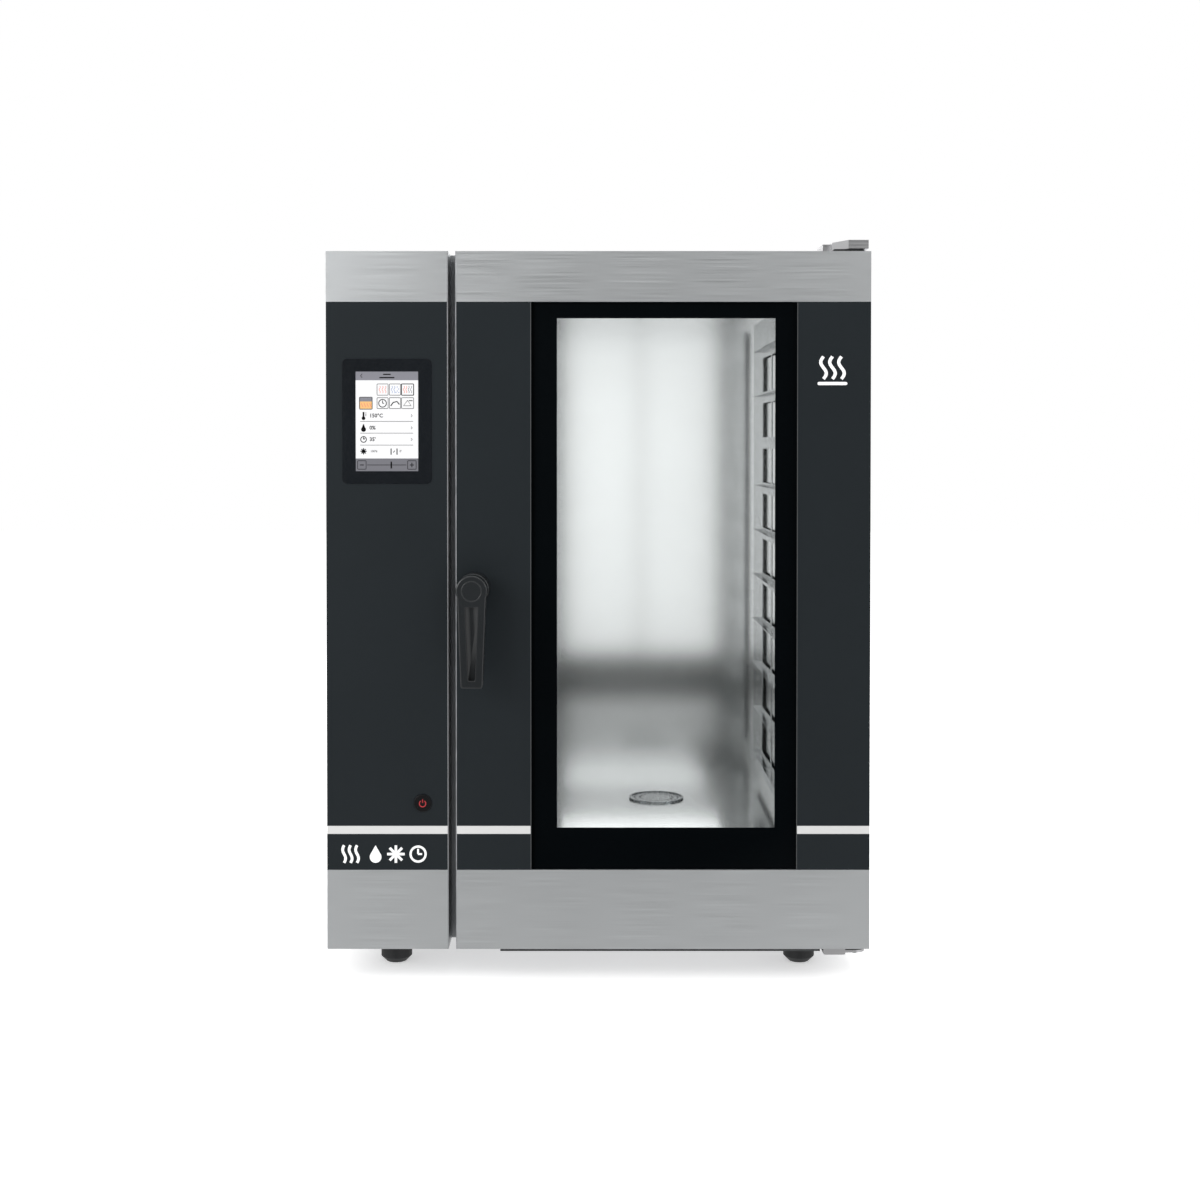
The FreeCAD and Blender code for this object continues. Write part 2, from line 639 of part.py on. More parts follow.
# ------------------------------------------------------------------ vent, water and cables
def vent():
    """A box on the cavity's ceiling, the pipe through the top cover and the flap inside it."""
    half = 40.0
    vent_box = block(VENT_BOX_LEFT, VENT_BOX_RIGHT, VENT_Y - half, VENT_Y + half,
                     LINER_TOP, VENT_BOX_TOP)
    hollow = block(VENT_BOX_LEFT + SHEET, VENT_BOX_RIGHT - SHEET, VENT_Y - half + SHEET,
                   VENT_Y + half - SHEET, LINER_TOP + SHEET, VENT_BOX_TOP - SHEET)
    vent_box = vent_box.cut(hollow)
    vent_box = vent_box.cut(rod_z(LINER_TOP, LINER_TOP + SHEET, VENT_HOLE_X, VENT_Y, VENT_HOLE_R))
    vent_box = vent_box.cut(rod_z(VENT_BOX_TOP - SHEET, VENT_BOX_TOP, VENT_X, VENT_Y,
                                  VENT_R - VENT_WALL))
    save("vent_box", vent_box)

    flap_r = VENT_R - VENT_WALL - 0.5
    pin_r = 2.0
    inner_r = VENT_R - VENT_WALL
    pipe = tube_z(VENT_BOX_TOP, BODY_TOP, VENT_X, VENT_Y, VENT_R, inner_r)
    pipe = pipe.fuse(tube_z(BODY_TOP, HEIGHT, VENT_X, VENT_Y, VENT_TAIL_R, inner_r))
    pin_hole = rod_x(VENT_X - VENT_R - 1.0, VENT_X, VENT_Y, FLAP_Z,
                     pin_r + RUNNING_FIT)
    save("vent_pipe", pipe.cut(pin_hole))

    motor_x1 = VENT_X - VENT_R - 14.0
    drive = block(motor_x1 - 46.0, motor_x1, VENT_Y - half / 2, VENT_Y + half / 2,
                  VENT_BOX_TOP - 22.0, BODY_TOP - SHEET)
    spindle_hole = rod_x(motor_x1 - 14.0, motor_x1, VENT_Y, FLAP_Z, pin_r + RUNNING_FIT)
    save("vent_actuator", drive.cut(spindle_hole))

    disc = rod_z(FLAP_Z - 0.75, FLAP_Z + 0.75, VENT_X, VENT_Y, flap_r)
    pin = rod_x(motor_x1 - 13.0, VENT_X + flap_r, VENT_Y, FLAP_Z, pin_r)
    save("vent_flap", disc.fuse(pin).removeSplitter())


def water_fittings():
    """The inlet valve with its threaded tail, and the pipe that feeds water to the cavity."""
    half_wide = 22.0
    half_high = 20.0
    coil_long = 32.0
    coil_r = 17.0
    valve_long = 60.0
    valve_y = Y_REAR - SHEET - valve_long
    pipe_y = valve_y + valve_long / 2
    body = block(INLET_X - half_wide, INLET_X + half_wide, valve_y, Y_REAR - SHEET,
                 INLET_Z - half_high, INLET_Z + half_high)
    coil = rod_z(INLET_Z - half_high - coil_long, INLET_Z - half_high, INLET_X, pipe_y, coil_r)
    neck = rod_y(Y_REAR - SHEET, Y_REAR, INLET_X, INLET_Z, INLET_R + INLET_NECK)
    tail = rod_y(Y_REAR, Y_TIP, INLET_X, INLET_Z, INLET_R)
    bore_r = 8.0
    bore = rod_y(Y_REAR - SHEET - half_high, Y_TIP, INLET_X, INLET_Z, bore_r)
    save("water_inlet", body.fuse(coil).fuse(neck).fuse(tail).removeSplitter().cut(bore))

    start = INLET_Z + half_high
    level_x = INLET_X + 40.0
    bend = 22.0
    route = [vec(INLET_X, pipe_y, start), vec(INLET_X, pipe_y, STEAM_Z),
             vec(level_x, STEAM_Y, STEAM_Z), vec(STEAM_END_X, STEAM_Y, STEAM_Z)]
    save("steam_pipe", sweep(route, bend, STEAM_R))


def cable_gland():
    """A hex gland screwed to the back sheet, with the bore that the supply cable enters."""
    hex_r = 17.0
    hex_long = 8.0
    dome_long = FITTING_REACH - hex_long - 1.0
    y0 = Y_REAR - SHEET - hex_long
    neck_r = GLAND_BORE + GLAND_WALL
    neck = rod_y(y0, Y_REAR, GLAND_X, GLAND_Z, neck_r)
    corners = []
    for i in range(6):
        turn = math.radians(60 * i)
        corners.append((GLAND_X + hex_r * math.cos(turn), GLAND_Z + hex_r * math.sin(turn)))
    hexagon = prism_y(corners, Y_REAR, Y_REAR + hex_long)
    dome = Part.makeCone(hex_r - 2.0, neck_r - 0.5, dome_long,
                         vec(GLAND_X, Y_REAR + hex_long, GLAND_Z), vec(0, 1, 0))
    gland = neck.fuse(hexagon).fuse(dome).removeSplitter()
    save("cable_gland", gland.cut(rod_y(y0, Y_TIP, GLAND_X, GLAND_Z, GLAND_BORE)))


def cooling_fan():
    """The fan that clears warm air from the electrical space: a frame and a bladed rotor."""
    y1 = Y_REAR - SHEET
    y0 = y1 - COOLER_DEEP
    half = COOLER_SIZE / 2
    hub_r = 20.0
    hub_long = 8.0
    axle_r = 3.0
    arm_half = 3.0
    frame = block(COOLER_X - half, COOLER_X + half, y0, y1, COOLER_Z - half, COOLER_Z + half)
    frame = frame.cut(rod_y(y0, y1, COOLER_X, COOLER_Z, COOLER_BORE))
    hub_end = y0 + hub_long
    boss = rod_y(y0, hub_end, COOLER_X, COOLER_Z, hub_r)
    boss = boss.cut(rod_y(y0, hub_end, COOLER_X, COOLER_Z, axle_r + RUNNING_FIT))
    frame = frame.fuse(boss)
    for i in range(4):
        arm = block(COOLER_X + hub_r - 2.0, COOLER_X + COOLER_BORE + 2.0, y0, y0 + hub_long / 2,
                    COOLER_Z - arm_half, COOLER_Z + arm_half)
        arm.rotate(vec(COOLER_X, 0, COOLER_Z), vec(0, 1, 0), 90.0 * i + 45.0)
        frame = frame.fuse(arm)
    save("cooling_fan_frame", frame.removeSplitter())

    rotor = rod_y(hub_end + CLEAR, y1 - 6.0, COOLER_X, COOLER_Z, hub_r)
    rotor = rotor.fuse(rod_y(y0 + 1.0, hub_end + CLEAR, COOLER_X, COOLER_Z, axle_r))
    blades = 7
    for i in range(blades):
        blade = block(COOLER_X - 1.0, COOLER_X + 1.0, hub_end + 3.0, y1 - 9.0,
                      COOLER_Z + hub_r - 2.0, COOLER_Z + COOLER_BORE - 2.5)
        blade.rotate(vec(COOLER_X, (y0 + y1) / 2, COOLER_Z), vec(0, 0, 1), 35.0)
        blade.rotate(vec(COOLER_X, 0, COOLER_Z), vec(0, 1, 0), 360.0 * i / blades)
        rotor = rotor.fuse(blade)
    save("cooling_fan_rotor", rotor.removeSplitter())


# ------------------------------------------------------------------ control column
def column_shell():
    """The folded housing around the controls; its right wall reaches forwards beside the fascia."""
    outer = block(X_LEFT, X_COLUMN, Y_SKIN, Y_BODY, UNDERSIDE, BODY_TOP)
    inner = block(X_LEFT + SHEET, X_COLUMN - SHEET, Y_SKIN, Y_BODY,
                  UNDERSIDE + SHEET, BODY_TOP - SHEET)
    edge = block(X_COLUMN - SHEET, X_COLUMN, Y_FRONT, Y_SKIN, UNDERSIDE, BODY_TOP)
    save("column_shell", outer.cut(inner).fuse(edge).removeSplitter())


def column_front():
    """Steel trims at the top and bottom, the dark fascia between them and its pale stripe."""
    right = X_COLUMN - SHEET
    save("column_trims",
         block(X_LEFT, right, Y_FRONT, Y_SKIN, Z_UPPER_TRIM, BODY_TOP),
         block(X_LEFT, right, Y_FRONT, Y_SKIN, UNDERSIDE, Z_LOWER_TRIM))
    fascia = block(X_LEFT, right, Y_FRONT, Y_SKIN, Z_LOWER_TRIM, Z_UPPER_TRIM)
    fascia = fascia.cut(stripe(X_LEFT, right))
    fascia = fascia.cut(rounded_plate(BEZEL_LEFT, BEZEL_RIGHT, Y_FRONT - 1.0, Y_SKIN + 1.0,
                                      BEZEL_LOW, BEZEL_HIGH, BEZEL_ROUND))
    fascia = fascia.cut(rod_y(Y_FRONT, Y_SKIN, BUTTON_X, BUTTON_Z, BUTTON_R + CLEAR))
    save("column_fascia", fascia)
    save("column_stripe", stripe(X_LEFT, right))


def stripe(x0, x1):
    return block(x0, x1, Y_FRONT, Y_FRONT + STRIPE_DEEP, STRIPE_Z, STRIPE_Z + STRIPE_HIGH)


def display():
    """A touch screen in a rounded bezel, with its circuit board behind."""
    back = Y_FRONT + 5.0
    bezel = rounded_plate(BEZEL_LEFT, BEZEL_RIGHT, Y_FRONT - BEZEL_PROUD, back,
                          BEZEL_LOW, BEZEL_HIGH, BEZEL_ROUND)
    bezel = bezel.cut(block(SCREEN_LEFT, SCREEN_RIGHT, Y_FRONT - BEZEL_PROUD, back,
                            SCREEN_LOW, SCREEN_HIGH))
    save("display_bezel", bezel)
    save("display_screen", block(SCREEN_LEFT, SCREEN_RIGHT, Y_FRONT - BEZEL_PROUD + 0.6, back,
                                 SCREEN_LOW, SCREEN_HIGH))
    board_back = back + 1.6
    inset = 4.0
    chip_thick = 4.0
    board = block(BEZEL_LEFT + inset, BEZEL_RIGHT - inset, back, board_back,
                  BEZEL_LOW + inset, BEZEL_HIGH - inset)
    chips = []
    for x, z, wide, high in ((-375.0, 850.0, 26.0, 26.0), (-330.0, 900.0, 18.0, 40.0),
                             (-380.0, 940.0, 60.0, 12.0)):
        chips.append(block(x, x + wide, board_back, board_back + chip_thick, z, z + high))
    save("control_board", board, *chips)


def power_button():
    """A round cap that travels in a cup fixed behind the fascia."""
    travel = 2.0
    cap_back = Y_FRONT + 9.0
    cup_floor = cap_back + travel + 5.0
    cap = rod_y(Y_FRONT - BUTTON_PROUD, cap_back, BUTTON_X, BUTTON_Z, BUTTON_R)
    rim = [edge for edge in cap.Edges if edge.BoundBox.YMax < Y_FRONT - BUTTON_PROUD + 0.1]
    save("power_button", cap.makeFillet(1.0, rim))
    cup = rod_y(Y_SKIN, cup_floor + 2.0, BUTTON_X, BUTTON_Z, BUTTON_R + 4.0)
    save("button_housing", cup.cut(rod_y(Y_SKIN, cup_floor, BUTTON_X, BUTTON_Z, BUTTON_R + CLEAR)))


def contactors():
    """A mounting rail on the left wall with three switching blocks on it."""
    wall = X_LEFT + SHEET
    rail_face = wall + 8.0
    middle = 497.5
    rail_half = 17.5
    unit_half = 37.5
    unit_wide = 46.0
    unit_deep = 60.0
    pitch = 58.0
    first = -170.0
    units = [block(wall, rail_face, first - 10.0, first + 3 * pitch + 16.0,
                   middle - rail_half, middle + rail_half)]
    for i in range(3):
        y = first + pitch * i
        units.append(block(rail_face, rail_face + unit_deep, y, y + unit_wide,
                           middle - unit_half, middle + unit_half))
    save("contactors", *units)


# ------------------------------------------------------------------ door
def door_member(x0, x1, z0, z1):
    """A folded channel with its open side towards the cavity."""
    back = Y_DOOR_BACK - SHEET
    outer = block(x0, x1, Y_SKIN, back, z0, z1)
    return outer.cut(block(x0 + DOOR_WALL, x1 - DOOR_WALL, Y_SKIN + DOOR_WALL, back,
                           z0 + DOOR_WALL, z1 - DOOR_WALL))


def door_frame():
    """Four channels welded around the glass, bored for the hinge bushes and the handle."""
    left = door_member(X_DOOR, GLASS_LEFT, UNDERSIDE, BODY_TOP)
    left = left.fuse(block(X_DOOR, X_DOOR + SHEET, Y_FRONT, Y_SKIN, UNDERSIDE, BODY_TOP))
    left = left.removeSplitter()
    right = door_member(GLASS_RIGHT, X_RIGHT, UNDERSIDE, BODY_TOP)
    top = door_member(GLASS_LEFT, GLASS_RIGHT, Z_UPPER_TRIM, BODY_TOP)
    bottom = door_member(GLASS_LEFT, GLASS_RIGHT, UNDERSIDE, Z_LOWER_TRIM)
    left = left.cut(rod_y(Y_SKIN, Y_SKIN + DOOR_WALL, HANDLE_X, HANDLE_Z, SPINDLE_R + 0.5))
    for z0, z1 in bush_spans():
        right = right.cut(rod_z(z0, z1, HINGE_X, HINGE_Y, BUSH_R))
    save("door_frame", left, right, top, bottom)


def bush_spans():
    """The heights (low, high) of the lower and the upper hinge bush."""
    return ((UNDERSIDE, UNDERSIDE + BUSH_LONG), (BODY_TOP - BUSH_LONG, BODY_TOP))


def hinge_bushes():
    bushes = [tube_z(z0, z1, HINGE_X, HINGE_Y, BUSH_R, HINGE_R + RUNNING_FIT)
              for z0, z1 in bush_spans()]
    save("hinge_bushes", *bushes)


def door_front():
    """Steel trims and the two dark panels with their pale stripes."""
    edge = X_DOOR + SHEET
    save("door_trims",
         block(edge, X_RIGHT, Y_FRONT, Y_SKIN, Z_UPPER_TRIM, BODY_TOP),
         block(edge, X_RIGHT, Y_FRONT, Y_SKIN, UNDERSIDE, Z_LOWER_TRIM))
    panels = []
    stripes = []
    for x0, x1 in ((edge, GLASS_LEFT), (GLASS_RIGHT, X_RIGHT)):
        panel = block(x0, x1, Y_FRONT, Y_SKIN, Z_LOWER_TRIM, Z_UPPER_TRIM)
        panels.append(panel.cut(stripe(x0, x1)))
        stripes.append(stripe(x0, x1))
    panels[0] = panels[0].cut(rod_y(Y_FRONT, Y_SKIN, HANDLE_X, HANDLE_Z, SPINDLE_R + 0.5))
    save("door_panels", *panels)
    save("door_stripes", *stripes)


def door_glass():
    """The outer pane with its printed border behind it, and the inner pane."""
    back = Y_FRONT + GLASS_THICK
    save("outer_glass", block(GLASS_LEFT, GLASS_RIGHT, Y_FRONT, back, Z_LOWER_TRIM, Z_UPPER_TRIM))
    border = block(GLASS_LEFT, GLASS_RIGHT, back, back + PRINT_THICK, Z_LOWER_TRIM, Z_UPPER_TRIM)
    window = block(WINDOW_LEFT, WINDOW_RIGHT, back, back + PRINT_THICK, WINDOW_LOW, WINDOW_HIGH)
    save("glass_border", border.cut(window))
    inner_back = Y_DOOR_BACK - SHEET
    save("inner_glass", block(GLASS_LEFT, GLASS_RIGHT, inner_back - GLASS_THICK, inner_back,
                              Z_LOWER_TRIM, Z_UPPER_TRIM))


def door_inner_panel():
    """The polished sheet that faces the cavity and holds the inner pane by its edge."""
    lip = 12.0
    y0 = Y_DOOR_BACK - SHEET
    panel = block(X_DOOR, X_RIGHT, y0, Y_DOOR_BACK, UNDERSIDE, BODY_TOP)
    panel = panel.cut(block(GLASS_LEFT + lip, GLASS_RIGHT - lip, y0, Y_DOOR_BACK,
                            Z_LOWER_TRIM + lip, Z_UPPER_TRIM - lip))
    hole = rod_y(y0, Y_DOOR_BACK, HANDLE_X, HANDLE_Z, SPINDLE_R + RUNNING_FIT)
    save("door_inner_panel", panel.cut(hole))


def door_drip_tray():
    """A shallow trough under the door that catches what runs down the panes."""
    deep = 8.0
    wall = 1.0
    left, right = -160.0, 362.0
    front, back = Y_FRONT + 15.0, Y_DOOR_BACK - 6.0
    tray = block(left, right, front, back, UNDERSIDE - deep, UNDERSIDE)
    trough = block(left + wall, right - wall, front + wall, back - wall,
                   UNDERSIDE - deep + wall, UNDERSIDE)
    save("door_drip_tray", tray.cut(trough))


# ------------------------------------------------------------------ handle and latch
def handle_rosette():
    ring = tube_y(Y_FRONT - ROSETTE_THICK, Y_FRONT, HANDLE_X, HANDLE_Z,
                  ROSETTE_R, SPINDLE_R + RUNNING_FIT)
    save("handle_rosette", ring)


def lever_outline(top_wide, tip_wide, top_z, tip_z):
    """A tapered outline hanging from top_z to tip_z, centred on the spindle."""
    return [(HANDLE_X - top_wide / 2, top_z), (HANDLE_X + top_wide / 2, top_z),
            (HANDLE_X + tip_wide / 2, tip_z), (HANDLE_X - tip_wide / 2, tip_z)]


def door_handle():
    """A round head with a tapered lever that hangs down and a tapered recess in its face."""
    front = Y_FRONT - HANDLE_REACH
    head_back = Y_FRONT - ROSETTE_THICK - CLEAR
    tip = HANDLE_Z - HANDLE_LONG
    head = rod_y(front, head_back, HANDLE_X, HANDLE_Z, HANDLE_HEAD_R)
    outline = lever_outline(HANDLE_TOP_WIDE, HANDLE_TIP_WIDE, HANDLE_Z, tip)
    lever = prism_y(outline, front, front + HANDLE_THICK)
    tip_edges = [edge for edge in lever.Edges
                 if edge.BoundBox.ZMax < tip + 0.1 and edge.BoundBox.XLength < 0.1]
    lever = lever.makeFillet(HANDLE_ROUND, tip_edges)
    handle = head.fuse(lever).removeSplitter()
    face = lever_outline(RECESS_TOP, RECESS_TIP, HANDLE_Z - HANDLE_HEAD_R, tip + 12.0)
    handle = handle.cut(prism_y(face, front, front + RECESS_DEEP))
    bore = rod_y(front + HANDLE_THICK - 6.0, head_back, HANDLE_X, HANDLE_Z, SPINDLE_R)
    save("door_handle", handle.cut(bore))


def handle_spindle():
    """The spindle through the door and the latch bar on its far end."""
    bore_end = Y_FRONT - HANDLE_REACH + HANDLE_THICK - 6.0
    latch_back = Y_LINER + 5.0 + LATCH_THICK
    thick = rod_y(bore_end, Y_DOOR_BACK + 1.0, HANDLE_X, HANDLE_Z, SPINDLE_R)
    thin = rod_y(Y_DOOR_BACK + 1.0, latch_back, HANDLE_X, HANDLE_Z, SPINDLE_END_R - 1.0)
    save("handle_spindle", thick.fuse(thin).removeSplitter())
    bar = block(HANDLE_X - LATCH_HALF, HANDLE_X + LATCH_HALF, latch_back - LATCH_THICK, latch_back,
                HANDLE_Z - LATCH_WIDE / 2, HANDLE_Z + LATCH_WIDE / 2)
    save("latch_bar", bar.cut(rod_y(latch_back - LATCH_THICK, latch_back, HANDLE_X, HANDLE_Z,
                                    SPINDLE_END_R - 1.0)))


# ------------------------------------------------------------------ hinge brackets
def top_hinge():
    """A bracket on the top cover whose faceted arm reaches forwards over the door."""
    low = BODY_TOP + 5.0
    right = X_RIGHT - 3.0
    front = Y_FRONT + 8.0
    back = Y_BODY + 76.0
    plan = [(HINGE_X - 36.4, back), (HINGE_X - 36.4, HINGE_Y + 20.0), (HINGE_X - 15.4, front),
            (right, front), (right, back)]
    arm = prism_z(plan, low, HEIGHT)
    seat = block(HINGE_X - 48.0, right, Y_BODY + 8.0, back, BODY_TOP, HEIGHT)
    bracket = arm.fuse(seat).removeSplitter()
    save("top_hinge_bracket", bracket.cut(rod_z(low, HEIGHT - 4.0, HINGE_X, HINGE_Y, HINGE_R)))


def bottom_hinge():
    """A block under the casing, and the plate beside it that carries the lower pin."""
    high = UNDERSIDE - 0.5
    low = UNDERSIDE - 13.0
    left = HINGE_X - 53.0
    corner = HINGE_X - 17.0
    front = HINGE_Y - 16.0
    back = Y_BODY + 32.0
    body = block(left, corner, front, back, low, high)
    body = round_edges(body, vec(0, 1, 0), 2.5)
    nose = [(corner, front), (HINGE_X, front), (HINGE_X, HINGE_Y + 16.0), (corner, HINGE_Y + 16.0)]
    plate = prism_z(nose, low + 3.5, low + 7.5)
    plate = plate.fuse(rod_z(low + 3.5, low + 7.5, HINGE_X, HINGE_Y, 16.0))
    seat = block(left, corner, Y_BODY + 4.0, back, high - 3.0, UNDERSIDE)
    bracket = body.fuse(plate).fuse(seat).removeSplitter()
    bracket = bracket.cut(rod_z(low, high, HINGE_X, HINGE_Y, HINGE_R))
    save("bottom_hinge_bracket", bracket)


def hinge_washers():
    """A bevelled pad under the upper bracket's arm and a round washer on the lower plate."""
    half = 13.0
    low = BODY_TOP + CLEAR
    high = BODY_TOP + 5.0
    outline = [(HINGE_X - 41.0, low), (HINGE_X + half, low), (HINGE_X + half - 3.0, high),
               (HINGE_X - 38.0, high)]
    pad = prism_y(outline, HINGE_Y - half, HINGE_Y + half)
    pad = pad.cut(rod_z(low, high, HINGE_X, HINGE_Y, HINGE_R))
    washer = tube_z(UNDERSIDE - 5.5, UNDERSIDE - CLEAR, HINGE_X, HINGE_Y, 15.6, HINGE_R)
    save("hinge_washers", pad, washer)


def hinge_pins():
    """One pin fixed in each bracket, running in the bushes of the door."""
    shoulder = UNDERSIDE - 9.5
    lower = rod_z(shoulder, UNDERSIDE + BUSH_LONG - 2.0, HINGE_X, HINGE_Y, HINGE_R)
    tip = rod_z(UNDERSIDE - 14.0, shoulder, HINGE_X, HINGE_Y, 4.0)
    upper = rod_z(BODY_TOP - BUSH_LONG + 2.0, HEIGHT - 4.0, HINGE_X, HINGE_Y, HINGE_R)
    save("hinge_pins", lower.fuse(tip).removeSplitter(), upper)


def main():
    os.makedirs("parts", exist_ok=True)
    base_frame()
    feet()
    bottom_panel()
    side_panels()
    rear_panel()
    top_cover()
    front_frame()
    cavity_liner()
    insulation()
    door_gasket()
    fan_baffle()
    baffle_fixings()
    racks()
    rack_hooks()
    drain_cover()
    drain_pipe()
    fans()
    fan_motors()
    heater_elements()
    vent()
    water_fittings()
    cable_gland()
    cooling_fan()
    column_shell()
    column_front()
    display()
    power_button()
    contactors()
    door_frame()
    hinge_bushes()
    door_front()
    door_glass()
    door_inner_panel()
    door_drip_tray()
    handle_rosette()
    door_handle()
    handle_spindle()
    top_hinge()
    bottom_hinge()
    hinge_washers()
    hinge_pins()


main()
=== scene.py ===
import json
import math
import bmesh
import bpy
from mathutils import Matrix, Vector


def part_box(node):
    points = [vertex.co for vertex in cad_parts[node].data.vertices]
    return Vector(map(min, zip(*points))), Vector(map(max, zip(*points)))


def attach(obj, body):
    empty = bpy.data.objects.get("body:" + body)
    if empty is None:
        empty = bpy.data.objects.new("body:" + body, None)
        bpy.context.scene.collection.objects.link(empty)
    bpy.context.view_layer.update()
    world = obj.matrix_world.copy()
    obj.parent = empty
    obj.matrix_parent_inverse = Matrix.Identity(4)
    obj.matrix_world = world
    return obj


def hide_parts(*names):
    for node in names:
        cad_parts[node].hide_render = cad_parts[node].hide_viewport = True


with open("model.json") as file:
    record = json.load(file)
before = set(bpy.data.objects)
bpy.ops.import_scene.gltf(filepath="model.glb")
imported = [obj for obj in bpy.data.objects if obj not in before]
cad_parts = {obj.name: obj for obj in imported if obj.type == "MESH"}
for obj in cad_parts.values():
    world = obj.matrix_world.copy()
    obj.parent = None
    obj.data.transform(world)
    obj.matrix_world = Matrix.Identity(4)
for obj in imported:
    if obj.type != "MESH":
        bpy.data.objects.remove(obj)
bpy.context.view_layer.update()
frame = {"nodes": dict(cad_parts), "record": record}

NODES = frame["nodes"]
MM = 0.001
VENT_SLOTS = 10
SLOT_LOW = 0.560
SLOT_PITCH = 0.022
BOX_FACES = ((0, 1, 2, 3), (4, 5, 6, 7), (0, 1, 5, 4), (1, 2, 6, 5), (2, 3, 7, 6), (3, 0, 4, 7))


# ------------------------------------------------------------------ material building blocks
def new_material(name):
    """An empty node material with one Principled shader wired to the output."""
    mat = bpy.data.materials.new(name)
    mat.use_nodes = True
    tree = mat.node_tree
    tree.nodes.clear()
    out = tree.nodes.new("ShaderNodeOutputMaterial")
    shader = tree.nodes.new("ShaderNodeBsdfPrincipled")
    tree.links.new(shader.outputs["BSDF"], out.inputs["Surface"])
    return mat, tree, shader


def noise(tree, scale, stretch=(1, 1, 1), detail=3.0, rough=0.55):
    """Noise in the object's own space; scale is in features per metre along a stretch of 1."""
    place = tree.nodes.new("ShaderNodeTexCoord")
    spread = tree.nodes.new("ShaderNodeMapping")
    spread.inputs["Scale"].default_value = stretch
    tree.links.new(place.outputs["Object"], spread.inputs["Vector"])
    tex = tree.nodes.new("ShaderNodeTexNoise")
    tex.inputs["Scale"].default_value = scale
    tex.inputs["Detail"].default_value = detail
    tex.inputs["Roughness"].default_value = rough
    tree.links.new(spread.outputs["Vector"], tex.inputs["Vector"])
    return tex.outputs["Fac"]


def ramp(tree, source, stops):
    """A colour ramp; stops are (position, colour) pairs."""
    node = tree.nodes.new("ShaderNodeValToRGB")
    elements = node.color_ramp.elements
    while len(elements) < len(stops):
        elements.new(0.5)
    for element, (position, colour) in zip(elements, stops):
        element.position = position
        element.color = (*colour, 1.0)
    tree.links.new(source, node.inputs["Fac"])
    return node.outputs["Color"]


def span(tree, source, low, high):
    """Maps the middle of a noise to a range of values."""
    node = tree.nodes.new("ShaderNodeMapRange")
    node.inputs["From Min"].default_value = 0.3
    node.inputs["From Max"].default_value = 0.7
    node.inputs["To Min"].default_value = low
    node.inputs["To Max"].default_value = high
    tree.links.new(source, node.inputs["Value"])
    return node.outputs["Result"]


def bump(tree, shader, source, strength, distance):
    node = tree.nodes.new("ShaderNodeBump")
    node.inputs["Strength"].default_value = strength
    node.inputs["Distance"].default_value = distance
    tree.links.new(source, node.inputs["Height"])
    tree.links.new(node.outputs["Normal"], shader.inputs["Normal"])


def tinted(colour, factor):
    return tuple(min(1.0, c * factor) for c in colour)


# ------------------------------------------------------------------ materials
def steel(name, colour, rough, grain=(1, 1, 0.01), grain_scale=1400.0, depth=0.00002, drift=0.05,
          valley=0.90, uneven=0.06):
    """Sheet steel: fine lines along the grain, broad cloudy changes in gloss and tone."""
    mat, tree, shader = new_material(name)
    lines = noise(tree, grain_scale, grain, 2.0)
    clouds = noise(tree, 3.5, (1, 1, 1), 4.0)
    tone = ramp(tree, clouds, [(0.3, tinted(colour, 1 - drift)), (0.7, tinted(colour, 1 + drift))])
    streak = ramp(tree, lines, [(0.25, (valley,) * 3), (0.75, (1.0, 1.0, 1.0))])
    mix = tree.nodes.new("ShaderNodeMix")
    mix.data_type = "RGBA"
    mix.blend_type = "MULTIPLY"
    mix.inputs["Factor"].default_value = 1.0
    tree.links.new(tone, mix.inputs["A"])
    tree.links.new(streak, mix.inputs["B"])
    tree.links.new(mix.outputs["Result"], shader.inputs["Base Color"])
    tree.links.new(span(tree, lines, rough - uneven, rough + uneven), shader.inputs["Roughness"])
    shader.inputs["Metallic"].default_value = 1.0
    bump(tree, shader, lines, 0.25, depth)
    return mat


def coated(name, colour, rough, grain_scale=900.0, depth=0.00004, drift=0.12, coat=0.0,
           metallic=0.0, specular=0.5):
    """Paint, print or moulded plastic: a fine grain in the surface and a slow drift in tone."""
    mat, tree, shader = new_material(name)
    grain = noise(tree, grain_scale, (1, 1, 1), 3.0)
    clouds = noise(tree, 6.0, (1, 1, 1), 3.0)
    tone = ramp(tree, clouds, [(0.3, tinted(colour, 1 - drift)), (0.7, tinted(colour, 1 + drift))])
    tree.links.new(tone, shader.inputs["Base Color"])
    tree.links.new(span(tree, grain, rough - 0.04, rough + 0.05), shader.inputs["Roughness"])
    shader.inputs["Metallic"].default_value = metallic
    shader.inputs["Specular IOR Level"].default_value = specular
    shader.inputs["Coat Weight"].default_value = coat
    shader.inputs["Coat Roughness"].default_value = 0.08
    bump(tree, shader, grain, 0.3, depth)
    return mat


